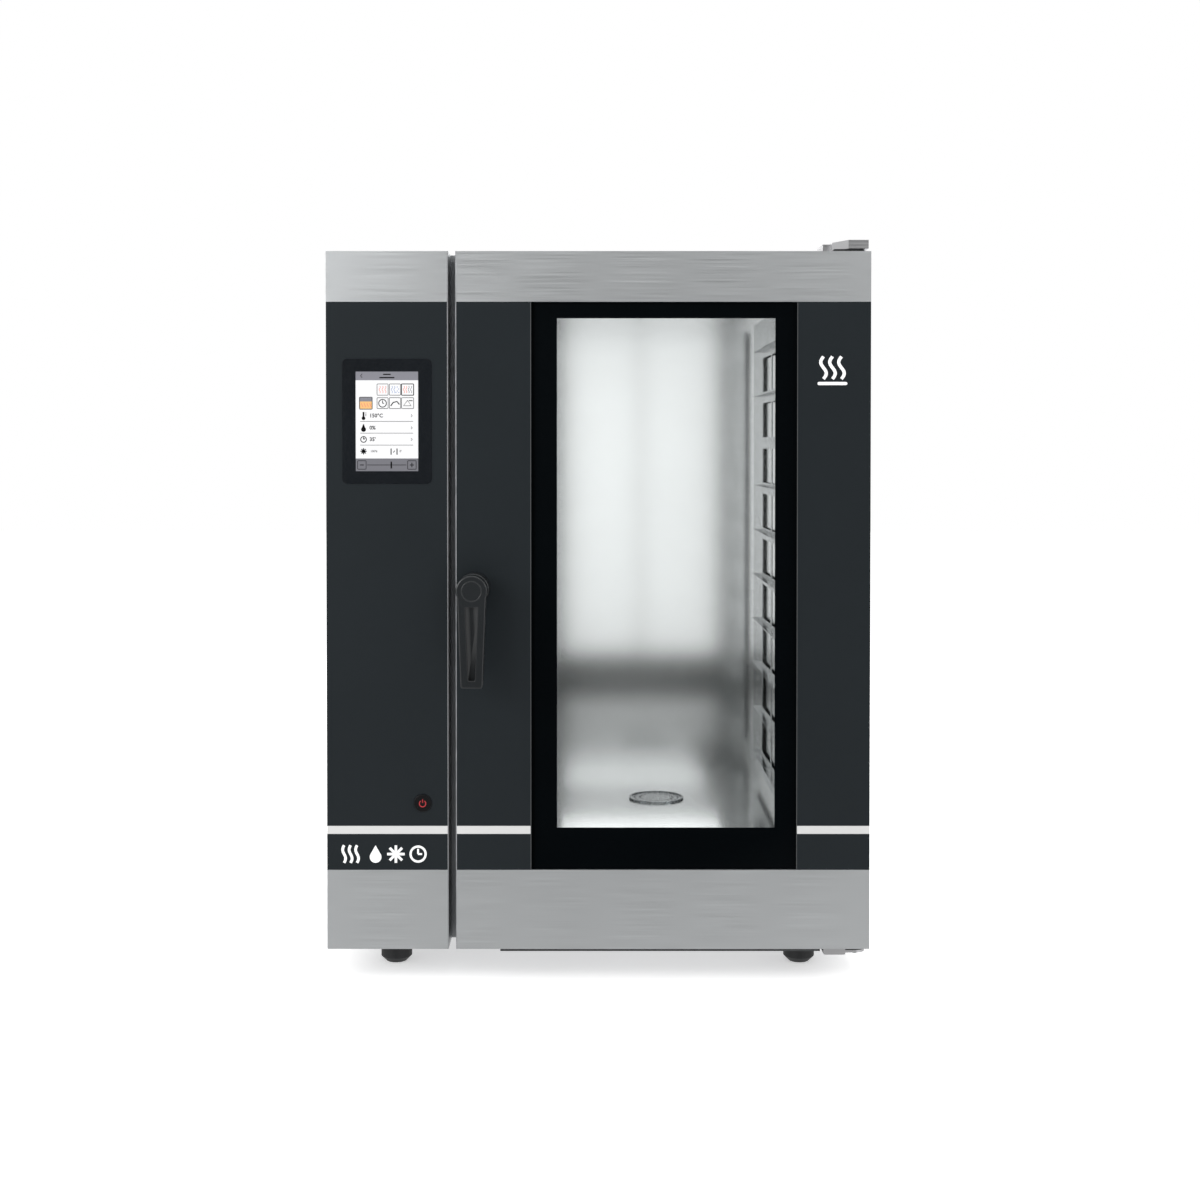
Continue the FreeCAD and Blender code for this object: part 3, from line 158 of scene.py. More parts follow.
def pane(name):
    """Clear sheet glass with faint smears; light from lamps passes straight through."""
    mat, tree, shader = new_material(name)
    smears = noise(tree, 9.0, (1, 1, 0.5), 4.0)
    shader.inputs["Base Color"].default_value = (0.97, 0.985, 0.98, 1.0)
    shader.inputs["Transmission Weight"].default_value = 1.0
    shader.inputs["IOR"].default_value = 1.45
    tree.links.new(span(tree, smears, 0.0, 0.012), shader.inputs["Roughness"])
    clear = tree.nodes.new("ShaderNodeBsdfTransparent")
    clear.inputs["Color"].default_value = (0.97, 0.985, 0.98, 1.0)
    rays = tree.nodes.new("ShaderNodeLightPath")
    mix = tree.nodes.new("ShaderNodeMixShader")
    out = next(n for n in tree.nodes if n.type == "OUTPUT_MATERIAL")
    tree.links.new(rays.outputs["Is Shadow Ray"], mix.inputs["Fac"])
    tree.links.new(shader.outputs["BSDF"], mix.inputs[1])
    tree.links.new(clear.outputs["BSDF"], mix.inputs[2])
    tree.links.new(mix.outputs["Shader"], out.inputs["Surface"])
    return mat


def lit(name, colour, glow):
    """A lit patch of the screen, with a trace of its pixel grain."""
    mat, tree, shader = new_material(name)
    grain = noise(tree, 2500.0, (1, 1, 1), 1.0)
    tone = ramp(tree, grain, [(0.3, tinted(colour, 0.97)), (0.7, colour)])
    shader.inputs["Base Color"].default_value = (*tinted(colour, 0.25), 1.0)
    tree.links.new(tone, shader.inputs["Emission Color"])
    shader.inputs["Emission Strength"].default_value = glow
    shader.inputs["Roughness"].default_value = 0.25
    return mat


def wool(name):
    """Pressed mineral wool: tangled fibres in two tones."""
    mat, tree, shader = new_material(name)
    fibres = noise(tree, 260.0, (1, 0.25, 1), 6.0, 0.7)
    tone = ramp(tree, fibres, [(0.3, (0.36, 0.30, 0.16)), (0.7, (0.66, 0.60, 0.42))])
    tree.links.new(tone, shader.inputs["Base Color"])
    shader.inputs["Roughness"].default_value = 0.95
    bump(tree, shader, fibres, 0.8, 0.0015)
    return mat


VERTICAL = (1, 1, 0.01)
ALONG_Y = (1, 0.01, 1)
ALONG_X = (0.004, 1, 1)

LOOKS = {
    "brushed_steel": steel("brushed_steel", (0.68, 0.70, 0.71), 0.40, ALONG_X, 1800.0, 0.000006,
                           0.012, 0.95),
    "rear_steel": steel("rear_steel", (0.58, 0.59, 0.60), 0.42, ALONG_X, drift=0.07),
    "cavity_steel": steel("cavity_steel", (0.74, 0.745, 0.75), 0.18, VERTICAL, 1600.0, 0.000001,
                          0.02, 0.98, 0.01),
    "frame_steel": steel("frame_steel", (0.30, 0.31, 0.32), 0.34, VERTICAL),
    "rack_steel": steel("rack_steel", (0.47, 0.48, 0.49), 0.22, ALONG_Y, drift=0.03),
    "drain_steel": steel("drain_steel", (0.34, 0.35, 0.36), 0.26, (1, 1, 1), 500.0),
    "base_steel": steel("base_steel", (0.52, 0.53, 0.55), 0.45, (1, 1, 1), 90.0, drift=0.10),
    "dark_panel": coated("dark_panel", (0.0098, 0.0130, 0.0153), 0.42, drift=0.04, specular=0.15),
    "pale_stripe": coated("pale_stripe", (0.50, 0.50, 0.495), 0.4, drift=0.02, specular=0.25),
    "clear_glass": pane("clear_glass"),
    "black_print": coated("black_print", (0.0024, 0.0044, 0.0064), 0.4, 400.0, 0.000002,
                          specular=0.15),
    "bezel_black": coated("bezel_black", (0.006, 0.0075, 0.0095), 0.2, 300.0, 0.00001, coat=0.3),
    "screen": lit("screen", (0.90, 0.90, 0.91), 0.74),
    "handle_black": coated("handle_black", (0.0095, 0.0112, 0.0125), 0.40, 1300.0, 0.00006,
                           coat=0.6, specular=0.2),
    "button_black": coated("button_black", (0.0025, 0.0025, 0.003), 0.35, 1300.0, specular=0.25),
    "foot_rubber": coated("foot_rubber", (0.008, 0.009, 0.010), 0.55, 700.0, 0.0001),
    "gasket_rubber": coated("gasket_rubber", (0.035, 0.038, 0.041), 0.6, 500.0, 0.0001),
    "hinge_steel": steel("hinge_steel", (0.66, 0.66, 0.67), 0.34, ALONG_X, 900.0),
    "pin_steel": steel("pin_steel", (0.55, 0.56, 0.57), 0.25, (1, 1, 8), 300.0),
    "washer_dark": coated("washer_dark", (0.02, 0.02, 0.022), 0.5),
    "brass": steel("brass", (0.62, 0.44, 0.17), 0.3, (8, 1, 1), 300.0),
    "mineral_wool": wool("mineral_wool"),
    "fan_steel": steel("fan_steel", (0.58, 0.59, 0.60), 0.3, (1, 1, 1), 350.0),
    "motor_paint": coated("motor_paint", (0.02, 0.035, 0.07), 0.45, 500.0, 0.0002),
    "heater_sheath": coated("heater_sheath", (0.05, 0.04, 0.035), 0.55, 800.0, 0.0001,
                            metallic=0.6),
    "pipe_steel": steel("pipe_steel", (0.62, 0.63, 0.63), 0.3, VERTICAL, 700.0),
    "circuit_board": coated("circuit_board", (0.01, 0.09, 0.035), 0.35),
    "electrical_plastic": coated("electrical_plastic", (0.36, 0.37, 0.37), 0.5),
    "fan_plastic": coated("fan_plastic", (0.012, 0.012, 0.013), 0.5),
}
INK = {
    "grey_bar": lit("ink_grey_bar", (0.235, 0.235, 0.265), 0.8),
    "dark_bar": lit("ink_dark_bar", (0.175, 0.175, 0.195), 0.8),
    "black": lit("ink_black", (0.004, 0.004, 0.005), 0.5),
    "rule": lit("ink_rule", (0.03, 0.03, 0.034), 0.8),
    "red": lit("ink_red", (0.80, 0.25, 0.20), 0.8),
    "blue": lit("ink_blue", (0.30, 0.38, 0.60), 0.8),
    "orange": lit("ink_orange", (0.85, 0.50, 0.20), 0.8),
}
# Looks that belong to single nodes or to the pieces added below.
# The next two are darker copies of the brushed steel: painted shade on the side panels, the
# column's shell and the top cover.
SHADED_CASING = steel("casing_steel_shaded", (0.50, 0.515, 0.525), 0.40, ALONG_Y, 1800.0, 0.000006, 0.03, 0.95)
SHADED_LID = steel("lid_steel_shaded", (0.36, 0.37, 0.38), 0.50, ALONG_Y, 1800.0, 0.000006, 0.04, 0.95)
# Painted light in one grey: a painted highlight as the thin line at each edge of the outer pane,
# and painted shade on the door's drip tray.
SHEEN_AND_SHADE_GREY = coated("sheen_and_shade_grey", (0.045, 0.048, 0.05), 0.5)
SHADE = coated("slot_shade", (0.006, 0.006, 0.007), 0.7)
EMBLEM = coated("emblem_white", (0.80, 0.80, 0.80), 0.45, drift=0.03)
SYMBOL_RED = coated("symbol_red", (0.35, 0.018, 0.022), 0.4, drift=0.1)


# The side panels, the column's shell and the top cover take shaded copies of their steel, and the
# door's drip tray a dark grey: painted shade.
NODE_LOOKS = {"column_shell": SHADED_CASING, "left_side_panel": SHADED_CASING, "right_side_panel": SHADED_CASING,
              "top_cover": SHADED_LID, "door_drip_tray": SHEEN_AND_SHADE_GREY}


def dress_frame():
    """Every CAD node takes the look of its material slot, unless NODE_LOOKS names another."""
    slots = {row["node"]: row["material_slot"] for row in frame["record"]["subparts"]}
    for node, piece in NODES.items():
        look = NODE_LOOKS.get(node, LOOKS[slots[node]])
        piece.data.materials.clear()
        piece.data.materials.append(look)


def soften(node, width_mm, segments=2, angle=40.0):
    """A small bevel on a CAD node's edges, so that they catch the light."""
    flat = NODES[node].modifiers.new("flat_faces", "DECIMATE")
    flat.decimate_type = "DISSOLVE"
    flat.angle_limit = math.radians(0.5)
    edge = NODES[node].modifiers.new("soft_edge", "BEVEL")
    edge.width = width_mm * MM
    edge.segments = segments
    edge.limit_method = "ANGLE"
    edge.angle_limit = math.radians(angle)
    edge.use_clamp_overlap = True
    edge.harden_normals = False


dress_frame()
soften("handle_rosette", 1.2, 3)
soften("column_trims", 0.4)
soften("door_trims", 0.4)
soften("foot_pads", 5.0, 5, 25.0)
soften("top_hinge_bracket", 0.6)
soften("bottom_hinge_bracket", 0.6)
soften("display_bezel", 0.5)
soften("vent_pipe", 0.5)
soften("door_gasket", 2.0, 3)
soften("drain_cover", 0.4)
soften("rack_left", 0.3)
soften("rack_right", 0.3)


# ------------------------------------------------------------------ mesh helpers
def finish_piece(bm, name, look, body, smooth=False):
    """Turns a bmesh into an object that rides on a body and takes its finish from a slot."""
    bmesh.ops.recalc_face_normals(bm, faces=bm.faces[:])
    mesh = bpy.data.meshes.new(name)
    bm.to_mesh(mesh)
    bm.free()
    piece = bpy.data.objects.new(name, mesh)
    bpy.context.scene.collection.objects.link(piece)
    mesh.materials.append(look)
    if smooth:
        for face in mesh.polygons:
            face.use_smooth = True
    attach(piece, body)
    return piece


def sheet_xz(bm, outline, y, thick):
    """A flat plate facing -Y with an (x, z) outline; its face is at y."""
    front = [bm.verts.new((x, y, z)) for x, z in outline]
    back = [bm.verts.new((x, y + thick, z)) for x, z in outline]
    bm.faces.new(front)
    bm.faces.new(back[::-1])
    count = len(outline)
    for i in range(count):
        j = (i + 1) % count
        bm.faces.new((front[j], front[i], back[i], back[j]))


def band_xz(bm, path, wide, y, thick, closed=False):
    """A strip of constant width along an (x, z) path, facing -Y."""
    count = len(path)
    left, right = [], []
    for i, (x, z) in enumerate(path):
        before = path[(i - 1) % count] if closed or i else path[i]
        after = path[(i + 1) % count] if closed or i < count - 1 else path[i]
        way = Vector((after[0] - before[0], after[1] - before[1])).normalized()
        off = Vector((-way.y, way.x)) * wide / 2
        left.append((x + off.x, z + off.y))
        right.append((x - off.x, z - off.y))
    pairs = count if closed else count - 1
    for i in range(pairs):
        j = (i + 1) % count
        sheet_xz(bm, [left[i], left[j], right[j], right[i]], y, thick)


def arc_points(cx, cz, radius, start, end, count):
    """Points on an arc from start to end in degrees; 0 points right and 90 up."""
    points = []
    for i in range(count + 1):
        turn = math.radians(start + (end - start) * i / count)
        points.append((cx + radius * math.cos(turn), cz + radius * math.sin(turn)))
    return points


def rounded_outline(x0, x1, z0, z1, radius, steps=5):
    corners = ((x1 - radius, z1 - radius, 0), (x0 + radius, z1 - radius, 90),
               (x0 + radius, z0 + radius, 180), (x1 - radius, z0 + radius, 270))
    points = []
    for cx, cz, start in corners:
        points += arc_points(cx, cz, radius, start, start + 90, steps)
    return points


# ------------------------------------------------------------------ touch screen
SCREEN_LO, SCREEN_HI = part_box("display_screen")
SCREEN_WIDE = SCREEN_HI.x - SCREEN_LO.x
SCREEN_HIGH = SCREEN_HI.z - SCREEN_LO.z
LAYER = 0.00004
STROKE = 1.6
UI = {}


def ui(colour):
    """The mesh that collects everything of one colour on the screen."""
    return UI.setdefault(colour, bmesh.new())


def at(u, v):
    """A place on the screen; u runs right and v runs down, both from 0 to 1."""
    return SCREEN_LO.x + u * SCREEN_WIDE, SCREEN_HI.z - v * SCREEN_HIGH


def ui_face(layer):
    return SCREEN_LO.y - LAYER * layer


def ui_patch(colour, u0, v0, u1, v1, layer=1, radius=0.0):
    x0, z1 = at(u0, v0)
    x1, z0 = at(u1, v1)
    outline = [(x1, z1), (x0, z1), (x0, z0), (x1, z0)]
    if radius:
        outline = rounded_outline(x0, x1, z0, z1, radius)
    sheet_xz(ui(colour), outline, ui_face(layer), LAYER)


def ui_frame(colour, u0, v0, u1, v1, wide, layer=1, radius=0.0012):
    x0, z1 = at(u0, v0)
    x1, z0 = at(u1, v1)
    path = rounded_outline(x0, x1, z0, z1, radius)
    band_xz(ui(colour), path, wide * STROKE, ui_face(layer), LAYER, closed=True)


def ui_line(colour, points, wide, layer=1, closed=False):
    band_xz(ui(colour), [at(u, v) for u, v in points], wide * STROKE, ui_face(layer), LAYER, closed)


def ui_disc(colour, u, v, radius, layer=1):
    x, z = at(u, v)
    sheet_xz(ui(colour), arc_points(x, z, radius, 0, 345, 23), ui_face(layer), LAYER)


def ui_ring(colour, u, v, radius, wide, layer=1, start=0, end=345):
    x, z = at(u, v)
    closed = end - start > 340
    count = 23 if closed else 14
    band_xz(ui(colour), arc_points(x, z, radius, start, end, count), wide * STROKE,
            ui_face(layer), LAYER, closed)


def ui_text(colour, text, u, v, size, bold=0.0):
    """Plain figures and units; v is the middle of their height."""
    curve = bpy.data.curves.new("value", "FONT")
    curve.body = text
    curve.size = size
    curve.align_y = "CENTER"
    curve.extrude = LAYER / 2
    curve.offset = bold
    curve.resolution_u = 3
    piece = bpy.data.objects.new("screen_value_" + str(len(bpy.data.curves)), curve)
    bpy.context.scene.collection.objects.link(piece)
    x, z = at(u, v)
    piece.matrix_world = (Matrix.Translation((x, ui_face(1.5), z))
                          @ Matrix.Rotation(math.radians(90), 4, "X"))
    curve.materials.append(INK[colour])
    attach(piece, "cabinet")


def waves(colour, u0, u1, v0, v1, count, wide, sideways=False):
    """A set of wavy lines that fill a box, upright unless sideways."""
    for i in range(count):
        share = (i + 0.5) / count
        points = []
        for k in range(13):
            along = k / 12
            sway = 0.009 * math.sin(along * math.tau * 1.5)
            if sideways:
                points.append((u0 + (u1 - u0) * along, v0 + (v1 - v0) * share + sway * 0.6))
            else:
                points.append((u0 + (u1 - u0) * share + sway, v0 + (v1 - v0) * along))
        ui_line(colour, points, wide, 2)


def screen_tiles():
    """Two rows of three mode tiles, and the tile of the dish beside them."""
    columns = ((0.342, 0.519), (0.539, 0.719), (0.733, 0.927))
    for row, (v0, v1) in enumerate(((0.124, 0.237), (0.262, 0.371))):
        for column, (u0, u1) in enumerate(columns):
            picked = row == 0 and column == 2
            ui_frame("black" if picked else "rule", u0, v0, u1, v1, 0.0009 if picked else 0.0006)
    v0, v1 = 0.145, 0.216
    waves("red", 0.362, 0.50, v0, v1, 3, 0.0006)
    waves("blue", 0.56, 0.64, v0, v1, 2, 0.0006)
    for u, v in ((0.665, 0.155), (0.685, 0.175), (0.665, 0.195), (0.688, 0.21), (0.645, 0.21)):
        ui_disc("blue", u, v, 0.0009, 2)
    waves("red", 0.755, 0.83, v0, v1, 2, 0.0006)
    waves("grey_bar", 0.83, 0.905, v0, v1, 2, 0.0006)
    ui_ring("black", 0.43, 0.318, 0.0062, 0.0009, 2)
    ui_line("black", [(0.43, 0.318), (0.43, 0.29)], 0.0008, 2)
    ui_line("black", [(0.43, 0.318), (0.455, 0.318)], 0.0008, 2)
    ui_line("black", [(0.56, 0.345), (0.60, 0.31), (0.66, 0.30), (0.70, 0.33)], 0.0011, 2)
    ui_line("black", [(0.765, 0.343), (0.83, 0.288), (0.885, 0.343)], 0.0009, 2, closed=True)
    ui_line("black", [(0.85, 0.292), (0.91, 0.292)], 0.0009, 2)
    ui_patch("orange", 0.068, 0.30, 0.258, 0.372, 2)
    ui_patch("grey_bar", 0.068, 0.262, 0.258, 0.30, 2)
    ui_frame("rule", 0.062, 0.257, 0.264, 0.377, 0.0008, 3)
    for k in range(4):
        ui_line("red", [(0.09 + 0.045 * k, 0.318), (0.115 + 0.045 * k, 0.355)], 0.0007, 3)


def screen_rows():
    """Temperature, humidity and time, each with its symbol and value, then the fan's row."""
    ui_line("black", [(0.125, 0.405), (0.125, 0.462)], 0.0018)
    ui_disc("black", 0.125, 0.468, 0.0030)
    for k in range(3):
        ui_line("black", [(0.15, 0.415 + 0.014 * k), (0.172, 0.415 + 0.014 * k)], 0.0006)
    ui_text("black", "150°C", 0.22, 0.443, 0.0084, 0.00022)
    ui_disc("black", 0.125, 0.580, 0.0040)
    ui_line("black", [(0.102, 0.570), (0.125, 0.528)], 0.0008)
    ui_line("black", [(0.148, 0.570), (0.125, 0.528)], 0.0008)
    ui_line("black", [(0.125, 0.535), (0.125, 0.565)], 0.0016)
    ui_text("black", "0%", 0.22, 0.565, 0.0084, 0.00022)
    ui_ring("black", 0.125, 0.681, 0.0046, 0.0009)
    ui_line("black", [(0.125, 0.681), (0.125, 0.660)], 0.0009)
    ui_line("black", [(0.125, 0.681), (0.15, 0.672)], 0.0009)
    ui_text("black", "35'", 0.22, 0.681, 0.0084, 0.00022)
    for v in (0.50, 0.618, 0.738):
        ui_line("rule", [(0.072, v), (0.918, v)], 0.0005)
    for v in (0.443, 0.565, 0.681):
        ui_line("black", [(0.885, v - 0.013), (0.905, v), (0.885, v + 0.013)], 0.0006)
    for k in range(4):
        turn = math.radians(45 * k)
        reach = 0.05
        aspect = SCREEN_WIDE / SCREEN_HIGH
        ui_line("black", [(0.125 - reach * math.cos(turn), 0.80 - reach * aspect * math.sin(turn)),
                          (0.125 + reach * math.cos(turn), 0.80 + reach * aspect * math.sin(turn))],
                0.0012)
    ui_text("rule", "100%", 0.235, 0.80, 0.0052, 0.00005)
    for u in (0.565, 0.66):
        ui_line("black", [(u, 0.772), (u, 0.834)], 0.0011)
    ui_line("black", [(0.60, 0.812), (0.625, 0.794)], 0.0008)
    ui_text("rule", "0'", 0.70, 0.80, 0.0052, 0.00005)


def screen_bars():
    """The header with its back arrow and the footer with minus, slider and plus."""
    ui_patch("grey_bar", 0.0, 0.0, 1.0, 0.087)
    ui_line("black", [(0.105, 0.022), (0.08, 0.042), (0.105, 0.062)], 0.0006, 2)
    ui_patch("black", 0.44, 0.022, 0.56, 0.034, 2)
    ui_patch("black", 0.38, 0.054, 0.62, 0.067, 2)
    ui_patch("dark_bar", 0.0, 0.872, 1.0, 1.0)
    for u0, u1 in ((0.03, 0.165), (0.83, 0.965)):
        ui_frame("black", u0, 0.895, u1, 0.98, 0.0006, 2)
        ui_line("black", [(u0 + 0.035, 0.9375), (u1 - 0.035, 0.9375)], 0.0009, 2)
    ui_line("black", [(0.8975, 0.915), (0.8975, 0.96)], 0.0009, 2)
    ui_line("black", [(0.18, 0.9375), (0.81, 0.9375)], 0.0006, 2)
    ui_patch("black", 0.556, 0.903, 0.580, 0.973, 3)


screen_tiles()
screen_rows()
screen_bars()
for ink, drawn in UI.items():
    finish_piece(drawn, "screen_" + ink, INK[ink], "cabinet")


# ------------------------------------------------------------------ marks on the front
PANEL_LO, PANEL_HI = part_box("door_panels")
GLASS_LO, GLASS_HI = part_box("outer_glass")
FRONT_Y = PANEL_LO.y
PRINT = 0.00012


def steam_mark():
    """A plain emblem on the door's right panel: three rising wisps over a bar."""
    bm = bmesh.new()
    middle = (GLASS_HI.x + PANEL_HI.x) / 2 - 0.003
    base = PANEL_LO.z + 0.786
    for k in (-1, 0, 1):
        path = []
        for i in range(25):
            along = i / 24
            sway = 0.0045 * math.sin(along * math.tau)
            path.append((middle + 0.0145 * k + sway, base + 0.010 + 0.036 * along))
        band_xz(bm, path, 0.0052, FRONT_Y - PRINT, PRINT)
    sheet_xz(bm, rounded_outline(middle - 0.024, middle + 0.024, base, base + 0.0052, 0.0024),
             FRONT_Y - PRINT, PRINT)
    finish_piece(bm, "steam_mark", EMBLEM, "door")


def mode_marks():
    """A row of plain symbols on the column's lower band: heat, steam, fan and timer."""
    bm = bmesh.new()
    face = FRONT_Y - PRINT
    left, low, high = -0.4175, 0.1955, 0.2240
    middle = (low + high) / 2
    for k in range(3):
        path = []
        for i in range(17):
            along = i / 16
            path.append((left + 0.005 + 0.0105 * k + 0.0024 * math.sin(along * math.tau),
                         low + (high - low) * along))
        band_xz(bm, path, 0.0044, face, PRINT)
    drop = left + 0.056
    outline = [(drop, high)] + arc_points(drop, low + 0.0095, 0.0095, 25, -205, 20)
    sheet_xz(bm, outline, face, PRINT)
    hub = drop + 0.033
    for k in range(4):
        turn = math.radians(45 * k)
        reach = 0.0142
        ends = [(hub - reach * math.cos(turn), middle - reach * math.sin(turn)),
                (hub + reach * math.cos(turn), middle + reach * math.sin(turn))]
        band_xz(bm, ends, 0.0042, face - 0.00001 * k, PRINT)
    clock = hub + 0.036
    band_xz(bm, arc_points(clock, middle, 0.0122, 0, 352.5, 47), 0.0036, face, PRINT, closed=True)
    band_xz(bm, [(clock, middle), (clock, middle + 0.0085)], 0.0030, face, PRINT)
    band_xz(bm, [(clock, middle), (clock + 0.0065, middle)], 0.0030, face - 0.00001, PRINT)
    finish_piece(bm, "mode_marks", EMBLEM, "cabinet")


def power_symbol():
    """The open ring and bar on the button's face."""
    lo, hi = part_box("power_button")
    x, z = (lo.x + hi.x) / 2, (lo.z + hi.z) / 2
    face = lo.y - PRINT
    bm = bmesh.new()
    band_xz(bm, arc_points(x, z - 0.0003, 0.0052, 125, 415, 30), 0.0015, face, PRINT)
    band_xz(bm, [(x, z + 0.0008), (x, z + 0.0066)], 0.0015, face, PRINT)
    finish_piece(bm, "power_symbol", SYMBOL_RED, "button")


def inset_outline(points, amount):
    """The outline moved inwards by an amount; points run anticlockwise in x and z."""
    count = len(points)
    moved = []
    for i, point in enumerate(points):
        here = Vector(point)
        before = (here - Vector(points[i - 1])).normalized()
        after = (Vector(points[(i + 1) % count]) - here).normalized()
        inward = Vector((-before.y - after.y, before.x + after.x))
        moved.append(here + inward * amount / max(0.3, 1.0 + before.dot(after)))
    return moved


def rings_from(bm, outline, profile):
    """Loops of vertices for each (y, inset) of a profile, joined by faces; gives the loops."""
    loops = [[bm.verts.new((p[0], y, p[1])) for p in inset_outline(outline, inset)]
             for y, inset in profile]
    count = len(outline)
    for near, far in zip(loops, loops[1:]):
        for i in range(count):
            j = (i + 1) % count
            bm.faces.new((near[i], near[j], far[j], far[i]))
    return loops


def rounding(y, radius, steps, sign):
    """(y, inset) pairs of a quarter round that starts flat at y and turns into the side."""
    pairs = []
    for k in range(steps + 1):
        turn = math.pi / 2 * k / steps
        pairs.append((y + sign * radius * (1 - math.cos(turn)), radius * (1 - math.sin(turn))))
    return pairs


def taper(x, top_z, tip_z, top_half, tip_half, corner):
    """A hanging taper with rounded tip corners, anticlockwise from its upper left."""
    points = [(x - top_half, top_z)]
    points += arc_points(x - tip_half + corner, tip_z + corner, corner, 180, 270, 8)
    points += arc_points(x + tip_half - corner, tip_z + corner, corner, 270, 360, 8)
    return points + [(x + top_half, top_z)]


def turned_handle():
    """The handle's round head and hanging lever with softly rounded edges and its recess."""
    lo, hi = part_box("door_handle")
    x = (lo.x + hi.x) / 2
    head = (hi.x - lo.x) / 2
    z = hi.z - head
    face, lever_back = lo.y + 0.0005, lo.y + 0.024
    soft = 0.0026
    shoulder, half = 0.01024, 0.02313
    tip_half, tip_corner = 0.018, 0.005
    recess_long, recess_deep, recess_soft = 0.142, 0.008, 0.0009
    recess_top, recess_tip, recess_corner = 0.01025, 0.0055, 0.0022
    start = math.degrees(math.asin(-shoulder / head))
    outline = taper(x, z - shoulder, lo.z, half, tip_half, tip_corner)[1:-1]
    outline += arc_points(x, z, head, start, 180 - start, 56)
    bm = bmesh.new()
    profile = rounding(face, soft, 6, 1) + rounding(lever_back, soft, 6, -1)[::-1]
    body = rings_from(bm, outline, profile)
    bm.faces.new(body[-1])
    recess = taper(x, z - head, z - recess_long, recess_top, recess_tip, recess_corner)
    profile = [(y, -inset) for y, inset in rounding(face, recess_soft, 4, 1)]
    walls = rings_from(bm, recess, profile + [(face + recess_deep, 0.0)])
    bm.faces.new(walls[-1])
    rims = []
    for loop in (body[0], walls[0]):
        for i, vert in enumerate(loop):
            rims.append(bm.edges.get((vert, loop[(i + 1) % len(loop)])))
    bmesh.ops.triangle_fill(bm, edges=rims, use_beauty=True, use_dissolve=False)
    neck = arc_points(x, z, head - 0.0001, 0, 355, 71)
    ends = rings_from(bm, neck, [(lever_back - 0.003, 0.0), (hi.y - 0.0006, 0.0), (hi.y, 0.0006)])
    bm.faces.new(ends[0])
    bm.faces.new(ends[-1])
    piece = finish_piece(bm, "turned_handle", LOOKS["handle_black"], "handle",
                         smooth=True)
    piece.modifiers.new("even_faces", "WEIGHTED_NORMAL")
    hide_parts("door_handle")
    ring = bmesh.new()
    loops = []
    rise = ((0.0168, 0.0), (0.0163, -0.0004), (0.0152, -0.0004), (0.0147, 0.0),
            (0.0147, 0.0006), (0.0168, 0.0006))
    for i in range(64):
        turn = math.tau * i / 64
        loops.append([ring.verts.new((x + r * math.cos(turn), face + y, z + r * math.sin(turn)))
                      for r, y in rise])
    for i in range(64):
        here, after = loops[i], loops[(i + 1) % 64]
        for j in range(len(rise)):
            k = (j + 1) % len(rise)
            ring.faces.new((here[j], here[k], after[k], after[j]))
    finish_piece(ring, "handle_ring", LOOKS["handle_black"], "handle", smooth=True)


def glass_edge_highlights():
    """Painted highlight: a thin paler line down each side of the outer pane, standing in for the
    light caught by the pane's edges.
    """
    bm = bmesh.new()
    for x in (GLASS_LO.x, GLASS_HI.x):
        sheet_xz(bm, [(x - 0.0006, GLASS_LO.z), (x + 0.0006, GLASS_LO.z),
                      (x + 0.0006, GLASS_HI.z), (x - 0.0006, GLASS_HI.z)], FRONT_Y - PRINT, PRINT)
    finish_piece(bm, "glass_edge_highlights", SHEEN_AND_SHADE_GREY, "door")


def drain_slot_shade():
    """Painted shade: dark insets in the slots of the drain cover, standing in for the shadow in
    them.
    """
    lo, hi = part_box("drain_cover")
    middle = Vector(((lo.x + hi.x) / 2, (lo.y + hi.y) / 2, lo.z + 0.0003))
    bm = bmesh.new()
    for radius, count in ((0.030, 18), (0.040, 24)):
        for i in range(count):
            turn = Matrix.Rotation(math.tau * i / count, 3, "Z")
            corners = []
            for dx, dy, dz in ((-1, -1, 0), (1, -1, 0), (1, 1, 0), (-1, 1, 0),
                               (-1, -1, 1), (1, -1, 1), (1, 1, 1), (-1, 1, 1)):
                offset = Vector((0.0034 * dx, radius + 0.0016 * dy, 0.0015 * dz))
                corners.append(bm.verts.new(middle + turn @ offset))
            for face in BOX_FACES:
                bm.faces.new([corners[k] for k in face])
    finish_piece(bm, "drain_slot_shade", SHADE, "cabinet")


def screw_heads(name, places, axis):
    """Domed screw heads standing on a sheet and facing along an axis, each with a dark cross of
    painted shade in place of its shaded cross recess.
    """
    radius, high = 0.0045, 0.0022
    turn = Vector(axis).to_track_quat("Z", "Y").to_matrix()
    heads, cross_shade = bmesh.new(), bmesh.new()
    for place in places:
        middle = Vector(place)
        loops = []
        for r, h in ((1.0, -0.1), (1.0, 0.3), (0.86, 0.72), (0.55, 1.0)):
            loops.append([heads.verts.new(middle + turn @ Vector((px * r, py * r, high * h)))
                          for px, py in arc_points(0, 0, radius, 0, 337.5, 15)])
        for near, far in zip(loops, loops[1:]):
            for i in range(16):
                j = (i + 1) % 16
                heads.faces.new((near[i], near[j], far[j], far[i]))
        heads.faces.new(loops[0])
        heads.faces.new(loops[-1])
        # The cross in each head is a dark piece: painted shade for the recess.
        for wide, tall in ((0.0021, 0.0005), (0.0005, 0.0021)):
            corners = [cross_shade.verts.new(middle + turn @ Vector((px, py, h)))
                       for h in (high * 0.9, high + 0.00006)
                       for px, py in ((-wide, -tall), (wide, -tall), (wide, tall), (-wide, tall))]
            for loop in BOX_FACES:
                cross_shade.faces.new([corners[k] for k in loop])
    finish_piece(heads, name, LOOKS["pin_steel"], "cabinet")
    finish_piece(cross_shade, name + "_crosses", SHADE, "cabinet")


